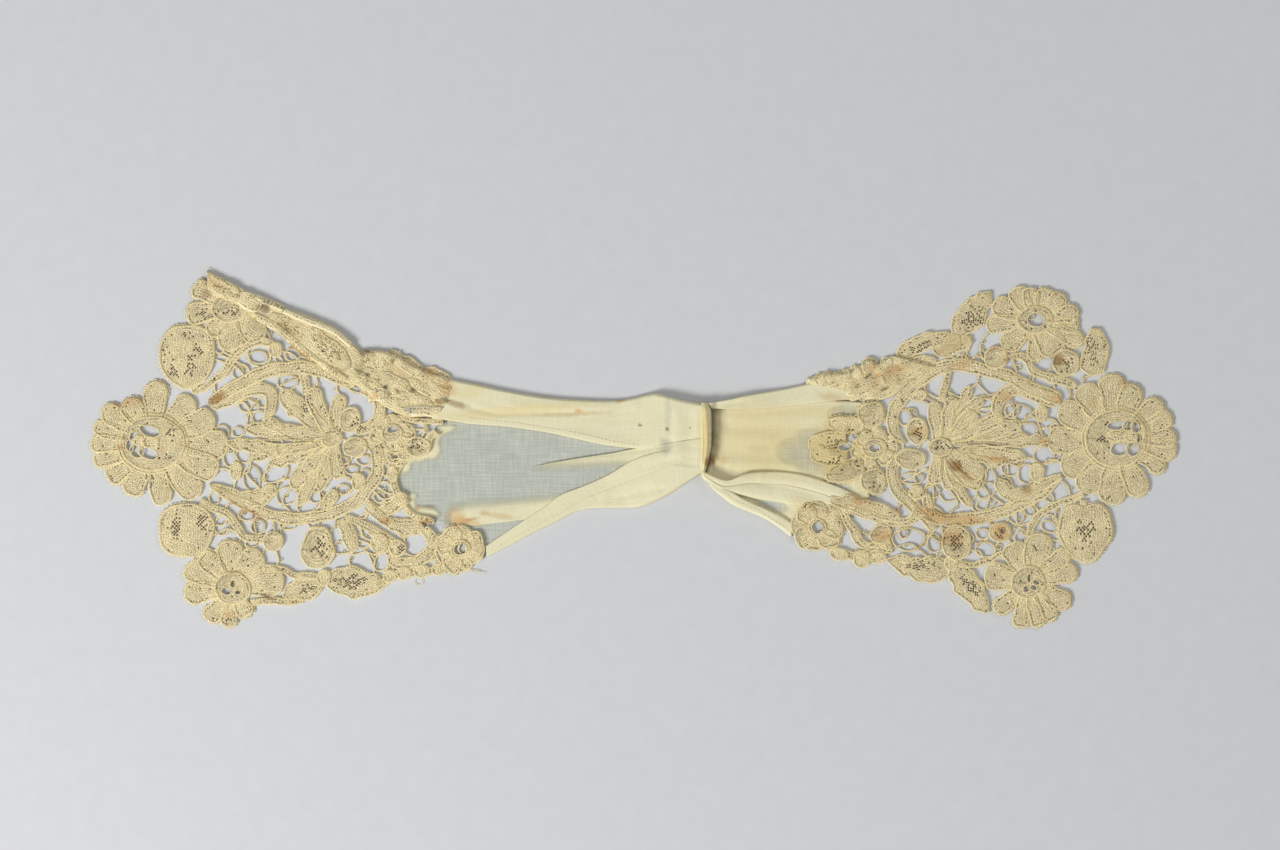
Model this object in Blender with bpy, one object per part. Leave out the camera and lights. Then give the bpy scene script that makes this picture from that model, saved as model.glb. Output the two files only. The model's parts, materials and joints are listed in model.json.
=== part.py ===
"""Jabot: a pleated lawn strip, gathered at its waist, with a floral lace end at each side, laid flat.

Metres, +Z up off the table. +X runs along the strip to the photo's right, +Y to the photo's top.
Places in the tables are pixels of the photo, x to the right and y down. Widths and heights are millimetres.
"""

import math

import bmesh
import bpy
from mathutils import Matrix, Vector
from mathutils.geometry import delaunay_2d_cdt

# Real sizes, in metres
OVERALL_LENGTH = 0.341
CLOTH = 0.0010
SEAM_GAP = 0.0003
MM = 0.001

# The photo's frame: the pixel columns that the jabot spans, and the pixel at its middle, the origin
FIRST_COLUMN = 92
LAST_COLUMN = 1176
MIDDLE_COLUMN = 633.8
MIDDLE_ROW = 449.3
PIXEL = OVERALL_LENGTH / (LAST_COLUMN - FIRST_COLUMN)

# Lace
BAR_WIDTH = 1.1 * MM
RIB_RISE = 0.35 * MM
ELLIPSE_POINTS = 12
LEAST_GAP_AREA = 4.0 * MM * MM
LEAST_GAP_LENGTH = 3.0 * MM
STRAIGHT_WITHIN = 0.08 * MM
WELD = 0.08 * MM
FINE_WELD = 0.01 * MM
DRAWN_BACK = 0.06 * MM
LAP_CLEAR = 0.5 * MM
LAP_RAMP = 4.0 * MM
WHOLE_HULL = 0

# Height above the table of what lies on a first layer of cloth
SECOND_LAYER = CLOTH + SEAM_GAP

# Colours, linear
LACE_COLOUR = (0.72, 0.66, 0.46, 1.0)
LAWN_COLOUR = (0.84, 0.82, 0.70, 1.0)
FOLD_COLOUR = (0.80, 0.72, 0.50, 1.0)
CLOTH_ROUGHNESS = 0.85

# Outlines along a motif: share of its length, share of its width
PROFILES = {
    "petal": ((0, 0.72), (0.35, 0.90), (0.70, 1.0), (0.93, 0.70), (1, 0.30)),
    "leaf": ((0, 0.30), (0.25, 0.78), (0.55, 1.0), (0.85, 0.55), (1, 0.08)),
    "scroll": ((0, 0.12), (0.10, 0.75), (0.30, 1.0), (0.90, 1.0), (1, 0.70)),
    "stem": ((0, 0.90), (0.50, 1.0), (1, 0.90)),
}

# Flower hearts
HEARTS_LEFT = """
flower   x      y      wide   high
tip      154    444.5  20.8   17.4
low      235    586    11.4   9.4
high     230    308    11.4   9.4
head     392    433    7.0    6.0
foot     460    549    11.4   10.8
"""
HEARTS_RIGHT = """
flower   x      y      wide   high
tip      1117.5 438    20.5   17.6
low      1030   584    10.2   10.2
high     1035   320    11.4   8.8
head     874    448    8.0    6.4
foot     817.5  527    12.0   11.4
"""

# Petals run out from their flower's heart to these ends
PETALS_LEFT = """
flower   x      y      wide
tip      228    445    7.8
tip      214    416    7.0
tip      191    397    7.0
tip      157    382    6.8
tip      128    400    6.6
tip      104    409    5.4
tip      95     426    4.8
tip      92     444    4.8
tip      95     462    4.8
tip      109    480    5.2
tip      130    494    5.8
tip      163    505    7.0
tip      197    497    7.0
tip      217    472    7.2
low      229    541    6.6
low      259    552    6.8
low      283    580    7.6
low      251    614    5.0
low      236    627    4.6
low      220    626    5.0
low      204    620    5.4
low      185    595    5.8
low      187    567    6.2
low      202    554    5.2
high     194    286    5.0
high     187    314    6.2
high     211    336    5.6
high     231    350    7.2
high     262    339    6.6
head     371    434    5.6
head     379    419    5.4
head     397    416    5.6
head     414    429    5.4
head     410    444    5.4
head     391    451    5.8
foot     437    543    5.4
foot     446    530    5.6
foot     466    527    5.8
foot     482    540    6.0
foot     483    556    6.0
foot     468    570    5.8
foot     447    569    5.6
"""
PETALS_RIGHT = """
flower   x      y      wide
tip      1048   440    7.8
tip      1059   409    7.2
tip      1081   386    7.2
tip      1110   375    6.6
tip      1134   386    6.6
tip      1161   402    6.0
tip      1171   417    4.8
tip      1175   437    4.8
tip      1175   453    4.8
tip      1163   470    5.0
tip      1141   495    6.4
tip      1110   503    7.2
tip      1083   492    7.2
tip      1063   472    7.2
low      1041   534    6.8
low      1011   543    7.0
low      985    575    7.8
low      996    611    5.8
low      1019   627    5.2
low      1038   627    5.0
low      1054   619    4.6
low      1069   604    5.6
low      1076   571    5.2
low      1067   552    4.8
high     993    304    6.0
high     987    325    5.4
high     1003   348    5.6
high     1035   361    4.4
high     1057   353    7.6
high     1082   342    4.8
high     1078   327    4.4
high     1077   312    4.8
high     1063   295    4.6
high     1048   289    5.2
high     1029   288    4.8
high     1014   288    5.2
head     851    448    5.8
head     860    434    5.8
head     883    431    5.8
head     898    445    5.8
head     890    462    5.8
head     866    465    5.8
foot     791    527    6.0
foot     800    508    6.0
foot     819    503    6.0
foot     838    511    6.0
foot     843    528    6.0
foot     832    547    6.0
foot     810    550    6.0
foot     796    541    5.6
"""

# Round leaves, buttons and squares
DISCS_LEFT = """
x      y      wide   high   turn
187    355    17.6   20.2   0
187    530    17.8   16.8   0
276    350    4.6    5.2    0
332    438    6.4    6.2    0
350    420    6.8    8.2    -15
355    447    8.2    6.4    10
359    482    4.8    5.8    0
236    471    3.8    6.0    0
273    541    6.6    6.6    0
318    548    10.8   12.8   0
324    578    4.6    5.4    0
380    543    5.8    6.0    0
398    548    5.6    5.6    0
418    447    8.2    6.8    0
447    431    5.4    5.0    0
441    447    5.8    5.8    0
427    456    5.2    4.4    0
408    463    5.6    5.2    0
400    482    4.8    7.0    0
412    500    5.6    4.8    0
390    576    4.6    4.2    0
404    573    4.8    4.6    0
422    571    5.4    4.8    0
439    569    5.0    4.4    0
"""
DISCS_RIGHT = """
x      y      wide   high   turn
1085   531    17.2   18.4   0
1066   363    8.8    9.0    0
996    358    7.6    7.2    0
940    447    7.6    6.2    0
917    431    6.8    8.8    15
911    459    9.6    6.8    -10
916    492    5.0    5.0    0
918    396    5.8    3.4    10
956    543    9.8    11.0   0
951    563    4.6    4.8    0
1000   532    7.2    7.0    0
881    534    7.2    6.6    0
862    559    5.6    5.8    0
839    554    6.0    4.4    -10
879    558    5.4    3.6    10
1037   472    4.2    6.0    0
1041   413    4.2    5.6    0
847    425    10.2   5.4    -12
873    411    8.6    6.6    0
840    471    8.6    7.0    10
874    482    8.2    7.4    0
"""

# Leaves and scrolls: outline, greatest width, then the middle line from root to tip
LEAVES_LEFT = """
stem    2.2  195,380 195,393
scroll  2.8  194,394 209,384 222,374 232,359 245,347 260,341 274,344
scroll  4.0  209,405 228,392 246,381 265,372 284,368 303,368 321,371 340,379 356,387
stem    3.8  361,389 374,395 380,406 377,419 366,428 356,430
scroll  4.0  210,484 228,496 251,507 270,514 291,518 312,517 335,512 355,502 368,489 377,474 378,458 373,446 362,440
scroll  4.4  208,405 228,401 245,391 259,388 270,394 270,406 264,418
leaf    4.6  211,485 228,493 245,499 260,498 276,487
leaf    4.2  331,436 290,432 245,429
petal   3.4  284,431 263,419
leaf    3.8  331,441 285,450 255,447 227,442
petal   3.2  278,450 251,458
leaf    3.8  331,442 296,455 268,464
leaf    4.8  331,442 308,467 291,488
leaf    3.8  332,443 314,477 299,505
leaf    3.6  333,444 325,472 321,491
petal   4.2  334,446 338,479
leaf    5.6  331,436 304,413 281,391
petal   3.0  302,412 287,411
petal   4.6  330,432 318,408 312,388
petal   4.2  333,432 341,395
stem    3.2  303,372 307,393
petal   3.2  325,510 335,490
petal   4.0  379,513 406,499
stem    3.4  366,505 380,516 392,524
leaf    4.8  388,522 402,526 424,529
stem    3.6  424,529 436,541
scroll  3.8  434,539 429,553 416,561 401,563 388,558
stem    3.0  397,547 388,556
scroll  2.6  345,515 362,524 380,533 398,544
petal   4.0  342,518 348,532 354,551
leaf    9.4  325,579 350,582 385,585
leaf    7.0  324,581 306,588 283,595
stem    3.0  383,584 392,577 410,573 440,570
stem    2.8  200,501 213,508 229,515 238,528 245,537 264,539
stem    2.3  264,566 284,570 294,576 308,575 322,577
stem    2.4  250,603 269,600.5 286,601.5 303,600
petal   4.2  228,300 250,302
stem    4.2  449,427 441,440 436,453 420,458 405,464 398,478 401,494 414,503 432,509
stem    3.0  384,448 390,462 404,462
"""
LEAVES_RIGHT = """
leaf    7.8  1084,380 1093,356 1093,327
leaf    8.8  954,337 971,315 990,293
leaf    4.6  960,337 926,341 896,356
leaf    5.6  972,340 952,345 932,351
scroll  2.6  1006,357 1024,357 1034,371 1050,377 1076,386
scroll  4.0  1064,402 1044,393 1027,386 1008,376 987,371 962,365 940,368 922,379 908,391 897,405 892,420 895,434 905,444
scroll  4.0  1063,477 1044,493 1020,505 995,514 970,519 951,520 933,517 915,507 901,495 894,482 893,468 901,455
scroll  4.4  1062,403 1043,399 1022,390 1009,391 998,402 998,418
leaf    4.4  1062,476 1044,485 1024,495 1008,492 997,478
petal   4.2  949,440 975,429 1003,417
leaf    4.6  974,438 1021,423
leaf    3.6  956,443 1010,441 1048,440
petal   4.4  950,438 975,412
petal   3.8  949,433 963,416 982,399
leaf    2.8  947,430 960,410 971,386
petal   4.2  944,438 953,397
petal   4.0  938,438 933,402
stem    2.4  940,402 949,369
stem    3.2  870,458 873,476
stem    3.0  862,458 848,464
leaf    3.8  956,450 985,452 1026,458
leaf    3.8  958,453 1006,462
petal   4.8  950,453 982,477
petal   4.0  946,457 961,474 983,488
leaf    2.8  945,459 955,483 971,507
petal   3.6  942,458 950,490
petal   3.8  937,456 934,484
petal   2.6  930,512 926,494
stem    3.0  841,506 852,529 864,545 892,549
leaf    8.4  951,562 966,583 987,613
leaf    6.8  948,562 922,566 888,560
stem    2.0  954,563 980,564 1003,553
stem    2.4  1084,494 1060,503 1041,513 1032,524 1029,536
stem    2.2  1083,500 1083,512
stem    3.0  884,541 868,549
stem    3.0  832,549 850,555 866,557 886,556
stem    2.8  908,503 921,516 934,530
stem    3.0  846,508 866,514 886,521 906,522 918,512
stem    2.2  886,536 890,549
petal   4.8  862,440 838,441 811,447
petal   4.8  862,456 838,459 811,451
"""

# Openings inside a heart or between two leaves
OPENINGS_LEFT = """
x      y      wide   high   turn
144    441.5  10.8   10.8   0
230    587    5.2    3.4    0
460    549    4.2    3.4    0
287    441    15.6   1.3    1
"""
OPENINGS_RIGHT = """
x      y      wide   high   turn
1124   438    10.6   11.2   0
1034   582    5.6    5.0    0
1036   320    5.4    4.4    0
978    445.5  14.0   1.2    0
817.5  527    3.5    3.5    0
847    448    3.6    2.4    0
"""

# What lies across those openings
TONGUES_LEFT = """
petal   4.6  177,443 146,443
stem    3.4  150,441 134,440
"""
TONGUES_RIGHT = """
petal   4.6  1099,437 1127,437
stem    3.6  1126,437 1137,434
"""

# Bars of the ground, from motif to motif
BARS_LEFT = """
134,440 128,436
136,444 132,456
212,352 224,347
231,349 240,354
234,360 244,372 252,378
214,383 219,396
233,366 246,380
248,350 262,372
266,350 270,370
281,352 292,352 300,358
277,357 282,366
268,342 274,330
236,397 243,408 252,417
262,396 255,412 246,426
270,396 281,389 298,378
289,395 281,392
316,375 312,388
340,382 341,395
344,408 341,398
340,432 345,427
341,440 346,443
324,424 318,418
365,485 373,482
354,488 345,492 338,490
341,478 352,482
340,466 352,456
218,469 229,470
236,480 238,494
250,458 246,470 240,473
268,463 262,475 268,487
228,444 222,456
246,476 254,488 262,498
296,480 282,484 274,490
292,487 286,500 290,512
299,502 300,513
321,489 318,503 312,513
306,470 300,480 294,486
222,512 236,500
240,524 250,510
258,537 256,522 262,513
273,532 271,518
282,534 292,522
290,519 304,526 312,530
318,528 318,520
330,531 337,516
207,512 214,509
212,525 226,520
212,536 228,533 240,533
208,548 222,541
240,541 250,536
262,551 268,548
276,550 280,560 276,568
300,557 310,560
336,546 346,541
335,553 344,556 352,551
352,550 350,566
356,548 372,545
382,551 378,562 372,570
388,546 394,547
356,520 368,512
362,524 360,538 370,542
405,530 404,544
414,531 418,520 424,510
428,543 438,545
430,560 440,562
396,560 394,572
414,562 415,570
382,562 384,574
384,460 394,464
380,474 398,476
378,486 386,495 398,492
377,452 390,450
366,500 378,504 384,510
404,434 410,440
416,428 424,432 420,440
430,437 428,446
412,456 408,448
"""
BARS_RIGHT = """
1134,436 1141,433
1132,440 1134,456
1068,404 1072,392 1066,378
1052,366 1048,377
1086,388 1088,378
1003,351 1010,357
1020,357 1020,345
985,352 978,346 982,338
984,360 970,366
990,368 990,372
1012,362 1020,370 1018,380
1036,374 1036,388
1054,380 1060,398
950,356 958,366
968,343 964,356 966,365
975,412 984,405 998,406
972,388 978,374
953,396 950,385
982,398 996,392
1003,417 1010,408 1008,394
1021,423 1028,412 1040,410
1040,405 1046,397
1044,417 1058,426
1028,412 1034,424 1040,440
1048,432 1054,424
1003,419 998,414
934,402 928,398
908,396 902,400
924,394 930,386
917,418 914,408 898,408
926,440 932,443
921,444 914,452
899,440 904,450
928,452 934,450
936,484 926,490
909,492 903,492
934,483 938,500 934,514
950,490 954,503 948,514
934,470 922,464 906,480
916,466 918,486
971,506 978,516
983,487 992,496 985,510
981,477 990,470 998,479
1006,461 1004,472 998,480
1005,461 1018,468 1024,458
1026,458 1036,464
1037,480 1030,490
1040,466 1056,464
1048,442 1056,452 1052,460 1040,466
1012,486 1004,474
975,462 983,486
1006,512 1004,522
1014,508 1020,522 1030,524
1034,500 1040,512
1050,492 1052,505
1062,482 1070,492
1058,503 1060,516 1052,532
1030,536 1036,540
1046,520 1060,524
1040,545 1046,556
1066,552 1072,552
1070,556 1078,556
1008,532 1018,530 1028,534
1000,541 996,556
990,535 972,540
968,550 984,560
990,526 986,516
966,528 968,520
946,530 940,520
990,566 990,580
940,543 934,534 930,522
938,552 926,556
896,548 910,550 924,548
924,548 932,530 922,518
893,548 894,526
857,536 850,542
873,532 862,528
866,545 862,556
850,550 846,558
888,497 898,488
888,480 892,474
890,500 896,510
862,470 858,474
858,452 852,450
858,436 856,428
866,430 868,420
884,420 890,418
886,404 896,404
853,466 850,470
838,462 836,468
836,436 840,430
898,452 902,456
870,468 872,476
"""

# Where the lawn ends beneath the lace heading, and the rest of each half's outline
LAWN_LEFT = """
456,383 502,391 542,398 583,401 620,401 649,395 657,394.5 682,401 697,404.5
697,471.5 694,475 684,484 670,493 652,502 636,506.5 600,507 578,510 535,531 503,548 487,556
472,548 452,532 440,518 425,510 408,501 394,492 393,478 403,459 429,453 432,439 446,428 450,412
"""
LAWN_RIGHT = """
709.5,403.5 713,402.5 742,397 768,392.5 798,387 807,386 836,400 866,403
865,414 842,421 841,432 818,448 840,462 834,470 866,480 870,497 850,508 826,507 806,511 794,522 790,535
777,525 762,517 748,510.5 733,504 723,497 711,484 702.5,475.5 706.5,474 709.5,463 712.5,446 713,428 712.5,410
"""

# Folds and pleats: outer edge and inner edge at each section, and the height of the top there
BORDER_FOLD_LEFT = """
outer_x outer_y inner_x inner_y top
207     271     208     291     1.6
222     278     221     297     2.4
244     289     238     304     2.6
260     297     254     317     2.3
283     308     268     326     2.7
297     312     284     337     2.4
316     319     300     349     2.8
335     328     314     360     2.4
350     340     330     374     2.7
357     349     345     381     2.2
"""
BORDER_CRUMPLE_LEFT = """
outer_x outer_y inner_x inner_y top
361     350     349     383     2.2
369     351     360     387     3.1
378     350     370     394     2.3
388     352     379     402     3.3
396     355     389     409     2.4
404     360     399     414     3.4
413     365     410     417     2.5
422     369     420     417     3.2
432     373     430     416     2.4
441     376     440     413     3.0
450     380     447     411     2.0
"""
PLEAT_TOP_LEFT = """
outer_x outer_y inner_x inner_y top
455     381     452     420     2.5
475     384     471     424     2.5
502     390     509     427     2.6
542     397     544     432     2.5
583     400     573     438     2.6
620     400     605     445     2.6
649     394     642     449     2.8
657     393.5   664     446.5   3.0
682     400     688     442     3.3
697     403.5   697     441     3.4
"""
PLEAT_WEDGE_LEFT = """
outer_x outer_y inner_x inner_y top
526     472     522     467     2.5
560     469     560     461     2.5
590     467     599     455.5   2.6
616     463     620     453     2.5
640     457     641     450.5   2.6
666     450     666     448     2.6
"""
PLEAT_FOLD_LEFT = """
outer_x outer_y inner_x inner_y top
456     521     459     500     2.5
477     517.5   480     499     2.6
500     515     500     497.5   2.5
522     512     520     496     2.6
540     507     545     495     2.5
"""
PLEAT_HEM_LEFT = """
outer_x outer_y inner_x inner_y top
487     557     486     546     2.5
503     549     503     534     2.5
535     532     528     521     2.6
557     521.5   549     508     2.5
578     511     562     495     2.5
600     508     588     483     2.5
636     507.5   614     472     2.6
652     503     640     460     2.8
670     494     668     451.5   3.0
684     485     688     446     3.3
697     472     697     443     3.4
"""
WAIST_ROLL = """
outer_x outer_y inner_x inner_y top
699.5   402.5   708.5   403     3.2
699     410     711     410     4.4
699     428     711.5   428     4.8
699     446     711     446     4.6
699     462     708     462     4.4
699     473     705     473     3.2
"""
PLEAT_TOP_RIGHT = """
outer_x outer_y inner_x inner_y top
710.5   403     713.5   408.5   3.2
728     399.5   728     409     2.8
745     395.5   748     409     2.6
768     391.5   777     407.5   2.5
790     387.5   806     404     2.5
804     385     831     400.5   2.5
"""
PLEAT_FIRST_RIGHT = """
outer_x outer_y inner_x inner_y top
706     479     710.5   471     3.2
720     486     722     477     3.0
731     483     735     477     2.6
748     481     748     473     2.6
771     483     771     471     2.7
795     487.5   796     472.5   2.6
821     493     821     479     2.6
842     501     843     487     2.7
862     508     865     497     2.6
888     514     890     510     2.5
"""
PLEAT_SECOND_RIGHT = """
outer_x outer_y inner_x inner_y top
733     491     733     485     2.5
752     494     750     483     2.6
777     498.5   771     485     2.5
797     502.5   795     490     2.6
816     505     818     496     2.5
838     506     839     503     2.5
"""
PLEAT_HEM_RIGHT = """
outer_x outer_y inner_x inner_y top
705     478.5   707.5   481     3.0
712     486     716     486.5   3.0
723     498.5   727     488.5   2.8
733     505.5   738     496     2.6
748     511.5   752     502     2.5
763     518.5   767     509     2.6
777     526.5   783     519     2.5
791     537     793     526     2.5
"""
BORDER_CRUMPLE_RIGHT = """
outer_x outer_y inner_x inner_y top
808     380     814     389     1.8
816     377     824     393     2.4
825     373     836     396     3.0
834     374     847     397     2.2
844     373     857     398.5   3.1
852     370     866     399     2.3
859     366     876     399     3.2
867     359     888     398     2.4
877     364     897     394     3.0
884     359     908     384     2.3
891     356     921     374     2.7
899     357     934     367     2.0
"""

# The cut edge of a fold that rests on the table: share across from outer to inner, share of the top height
FOLD_SECTION = ((0, 0), (0, 0.62), (0.10, 0.92), (0.50, 1.0), (0.88, 0.93), (0.97, 0.75), (1, 0.56),
                (0.93, 0.46), (1, 0.36), (0.98, 0))
# A pleat that lies on a panel: share across from outer to inner, share of its own thickness
PLEAT_SECTION = ((0, 0), (0, 0.80), (0.12, 0.90), (0.50, 0.88), (0.84, 1.0), (1, 0.72), (1, 0))


def clear_scene():
    for obj in list(bpy.data.objects):
        bpy.data.objects.remove(obj, do_unlink=True)


def place(x, y):
    """A point of the photo, in metres from the jabot's middle."""
    return Vector(((x - MIDDLE_COLUMN) * PIXEL, (MIDDLE_ROW - y) * PIXEL))


def places(words):
    return [place(*map(float, word.split(","))) for word in words]


def table(text):
    """A table's rows, each a dictionary named by the first line."""
    names, *rows = lines(text)
    return [
        {name: word if name == "flower" else float(word) for name, word in zip(names, row)}
        for row in rows
    ]


def lines(text):
    return [line.split() for line in text.strip().splitlines()]


def between(pairs, share):
    """The value at a share along a list of (share, value) pairs."""
    for (start, low), (end, high) in zip(pairs, pairs[1:]):
        if share <= end:
            return low + (high - low) * (share - start) / (end - start)
    return pairs[-1][1]


def spline(points, share):
    """A point on the smooth curve through the points."""
    if len(points) == 2:
        return points[0].lerp(points[1], share)
    spans = len(points) - 1
    index = min(int(share * spans), spans - 1)
    t = share * spans - index
    b, c = points[index], points[index + 1]
    a = points[index - 1] if index else 2 * b - c
    d = points[index + 2] if index + 2 <= spans else 2 * c - b
    squared = (2 * a - 5 * b + 4 * c - d) * t ** 2
    cubed = (3 * b - a - 3 * c + d) * t ** 3
    return 0.5 * (2 * b + (c - a) * t + squared + cubed)


def blade(points, width, profile):
    """The outline of a leaf, petal, scroll or bar along its middle line, and the points of its rib."""
    shares = sorted({share for share, _ in profile} | {i / (len(points) - 1) for i in range(len(points))})
    left, right, rib = [], [], []
    for share in shares:
        here = spline(points, share)
        along = (spline(points, min(share + 0.01, 1)) - spline(points, max(share - 0.01, 0))).normalized()
        across = Vector((-along.y, along.x)) * width / 2 * between(profile, share)
        left.append(here + across)
        right.append(here - across)
        if 0.2 < share < 0.9:
            rib.append(here)
    return right + left[::-1], rib


def leaf(words):
    """A leaf's outline and rib, from its shape, greatest width and the points of its middle line."""
    shape, wide, *line = words
    return blade(places(line), float(wide) * MM, PROFILES[shape])


def ellipse(row):
    """A disc's outline, from its middle, width, height and turn in degrees."""
    middle = place(row["x"], row["y"])
    turn = Matrix.Rotation(math.radians(row.get("turn", 0)), 2)
    outline = []
    for index in range(ELLIPSE_POINTS):
        angle = math.tau * index / ELLIPSE_POINTS
        x = row["wide"] / 2 * MM * math.cos(angle)
        y = row["high"] / 2 * MM * math.sin(angle)
        outline.append(middle + turn @ Vector((x, y)))
    return outline


def motifs(hearts, petals, discs, leaves, bars):
    """The outlines of a lace end's motifs and bars, and the points of their ribs."""
    outlines, ribs = [], []
    by_name = {row["flower"]: row for row in table(hearts)}
    for row in by_name.values():
        outlines.append(ellipse(row))
    for row in table(petals):
        heart = by_name[row["flower"]]
        middle = place(heart["x"], heart["y"])
        tip = place(row["x"], row["y"])
        outward = (tip - middle).normalized()
        reach = 1 / math.hypot(outward.x / (heart["wide"] / 2 * MM), outward.y / (heart["high"] / 2 * MM))
        outline, rib = blade([middle + outward * reach * 0.85, tip], row["wide"] * MM, PROFILES["petal"])
        outlines.append(outline)
        ribs += rib
    for row in table(discs):
        outlines.append(ellipse(row))
        ribs.append(place(row["x"], row["y"]))
    for words in lines(leaves):
        outline, rib = leaf(words)
        outlines.append(outline)
        ribs += rib
    for words in lines(bars):
        outlines.append(blade(places(words), BAR_WIDTH, PROFILES["stem"])[0])
    return outlines, ribs


def area(loop):
    return sum(a.x * b.y - b.x * a.y for a, b in zip(loop, loop[1:] + loop[:1])) / 2


def turned_left(loop):
    return loop if area(loop) > 0 else loop[::-1]


def triangulated(loops, chains=(), points=(), within=WELD):
    """A flat triangle mesh with loops and chains as edges: points, triangles, and each triangle's loops."""
    vertices, edges, faces = [], [], []
    for loop in loops:
        start = len(vertices)
        vertices += turned_left(loop)
        faces.append(list(range(start, len(vertices))))
    for chain in chains:
        start = len(vertices)
        vertices += chain
        edges += [(i, i + 1) for i in range(start, len(vertices) - 1)]
    vertices += points
    flat, _, triangles, _, _, inside = delaunay_2d_cdt(vertices, edges, faces, WHOLE_HULL, within, True)
    return flat, triangles, [set(holders) for holders in inside]


def edge_loops(flat, triangles):
    """The closed loops round a set of triangles, drawn back a little where two corners touch at a point."""
    opposite = {(t[i], t[(i + 1) % 3]): t[(i + 2) % 3] for t in triangles for i in range(3)}
    rim = {(a, b) for a, b in opposite if (b, a) not in opposite}
    passed, loops = {}, []
    while rim:
        start = edge = min(rim)
        loop = []
        while not loop or edge != start:
            rim.discard(edge)
            behind, here = edge
            ahead = opposite[edge]
            fan = [behind, ahead]
            while (ahead, here) in opposite:
                ahead = opposite[(ahead, here)]
                fan.append(ahead)
            passed[here] = passed.get(here, 0) + 1
            loop.append((here, fan))
            edge = (here, ahead)
        loops.append(loop)
    drawn = []
    for loop in loops:
        rim_points = []
        for here, fan in loop:
            point = flat[here]
            if passed[here] > 1:
                middle = sum((flat[i] for i in fan), Vector((0, 0))) / len(fan)
                point = point + (middle - point).normalized() * DRAWN_BACK
            rim_points.append(point)
        drawn.append(rim_points)
    return drawn


def largest_body(triangles):
    """The largest set of triangles that hang together by their edges."""
    by_edge = {}
    for index, t in enumerate(triangles):
        for i in range(3):
            by_edge.setdefault(frozenset((t[i], t[(i + 1) % 3])), []).append(index)
    left, bodies = set(range(len(triangles))), []
    while left:
        stack = [left.pop()]
        body = set(stack)
        while stack:
            t = triangles[stack.pop()]
            for i in range(3):
                for other in by_edge[frozenset((t[i], t[(i + 1) % 3]))]:
                    if other in left:
                        left.discard(other)
                        body.add(other)
                        stack.append(other)
        bodies.append(body)
    return [triangles[index] for index in max(bodies, key=len)]


def straightened(loop):
    """The loop without points that lie on a straight run."""
    kept = list(loop)
    index = 0
    while index < len(kept) and len(kept) > 4:
        before, here, after = kept[index - 1], kept[index], kept[(index + 1) % len(kept)]
        run = after - before
        off = abs(run.x * (here.y - before.y) - run.y * (here.x - before.x)) / max(run.length, WELD)
        if off < STRAIGHT_WITHIN or (here - before).length < WELD:
            kept.pop(index)
        else:
            index += 1
    return kept


def lace_loops(outlines, openings, across, kept_out):
    """The outer edge of the lace, and the gaps in it that are large enough to cut."""
    loops = outlines + openings + across + kept_out
    first_opening = len(outlines)
    first_across = first_opening + len(openings)
    first_out = first_across + len(across)
    flat, triangles, inside = triangulated(loops)
    cloth = []
    for triangle, holders in zip(triangles, inside):
        solid = any(h < first_opening for h in holders)
        open_here = any(first_opening <= h < first_across for h in holders)
        over = any(first_across <= h < first_out for h in holders)
        out = any(h >= first_out for h in holders)
        if not out and (over or (solid and not open_here)):
            cloth.append(triangle)
    rims = [straightened(loop) for loop in edge_loops(flat, largest_body(cloth))]
    rims.sort(key=area)
    outer = rims.pop()
    gaps = []
    for rim in rims:
        length = max((a - b).length for a in rim for b in rim)
        if -area(rim) > LEAST_GAP_AREA and length > LEAST_GAP_LENGTH:
            gaps.append(rim)
    return outer, gaps


def distance_to(loop, point):
    """How far a point lies outside a loop, negative inside."""
    nearest, crossings = math.inf, 0
    for a, b in zip(loop, loop[1:] + loop[:1]):
        along = max(0, min(1, (point - a).dot(b - a) / (b - a).length_squared))
        nearest = min(nearest, (point - a - (b - a) * along).length)
        if (a.y > point.y) != (b.y > point.y):
            crossing = a.x + (point.y - a.y) * (b.x - a.x) / (b.y - a.y)
            crossings += point.x < crossing
    return -nearest if crossings % 2 else nearest


def grown(loop, margin):
    """The loop moved outwards by a margin."""
    loop = turned_left(loop)
    moved = []
    for index, here in enumerate(loop):
        along = (loop[(index + 1) % len(loop)] - here).normalized() + (here - loop[index - 1]).normalized()
        along.normalize()
        moved.append(here + Vector((along.y, -along.x)) * margin)
    return moved


def solid_object(name, mesh, colour, collection):
    material = bpy.data.materials.new(name)
    material.use_nodes = True
    shader = material.node_tree.nodes["Principled BSDF"]
    shader.inputs["Base Color"].default_value = colour
    shader.inputs["Roughness"].default_value = CLOTH_ROUGHNESS
    mesh.materials.append(material)
    obj = bpy.data.objects.new(name, mesh)
    collection.objects.link(obj)
    return obj


def plate(name, outer, gaps, chains, ribs, bottom_at, top_at, colour, collection):
    """A cloth wall from its outline: a flat mesh cut by its gaps, pulled down into a closed wall."""
    flat, triangles, inside = triangulated([outer] + gaps, chains, ribs, FINE_WELD)
    mesh = bpy.data.meshes.new(name)
    form = bmesh.new()
    corners = [form.verts.new((point.x, point.y, 0)) for point in flat]
    for triangle, holders in zip(triangles, inside):
        if holders == {0}:
            form.faces.new([corners[i] for i in triangle])
    bmesh.ops.delete(form, geom=[v for v in form.verts if not v.link_faces], context="VERTS")
    rim = {v for v in form.verts if v.is_boundary}
    upper = list(form.verts)
    made = bmesh.ops.extrude_face_region(form, geom=form.faces[:])
    lower = [item for item in made["geom"] if isinstance(item, bmesh.types.BMVert)]
    for v in upper:
        v.co.z = top_at(v.co.xy, v in rim)
    for v in lower:
        v.co.z = bottom_at(v.co.xy)
    bmesh.ops.recalc_face_normals(form, faces=form.faces)
    form.to_mesh(mesh)
    form.free()
    return solid_object(name, mesh, colour, collection)


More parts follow.
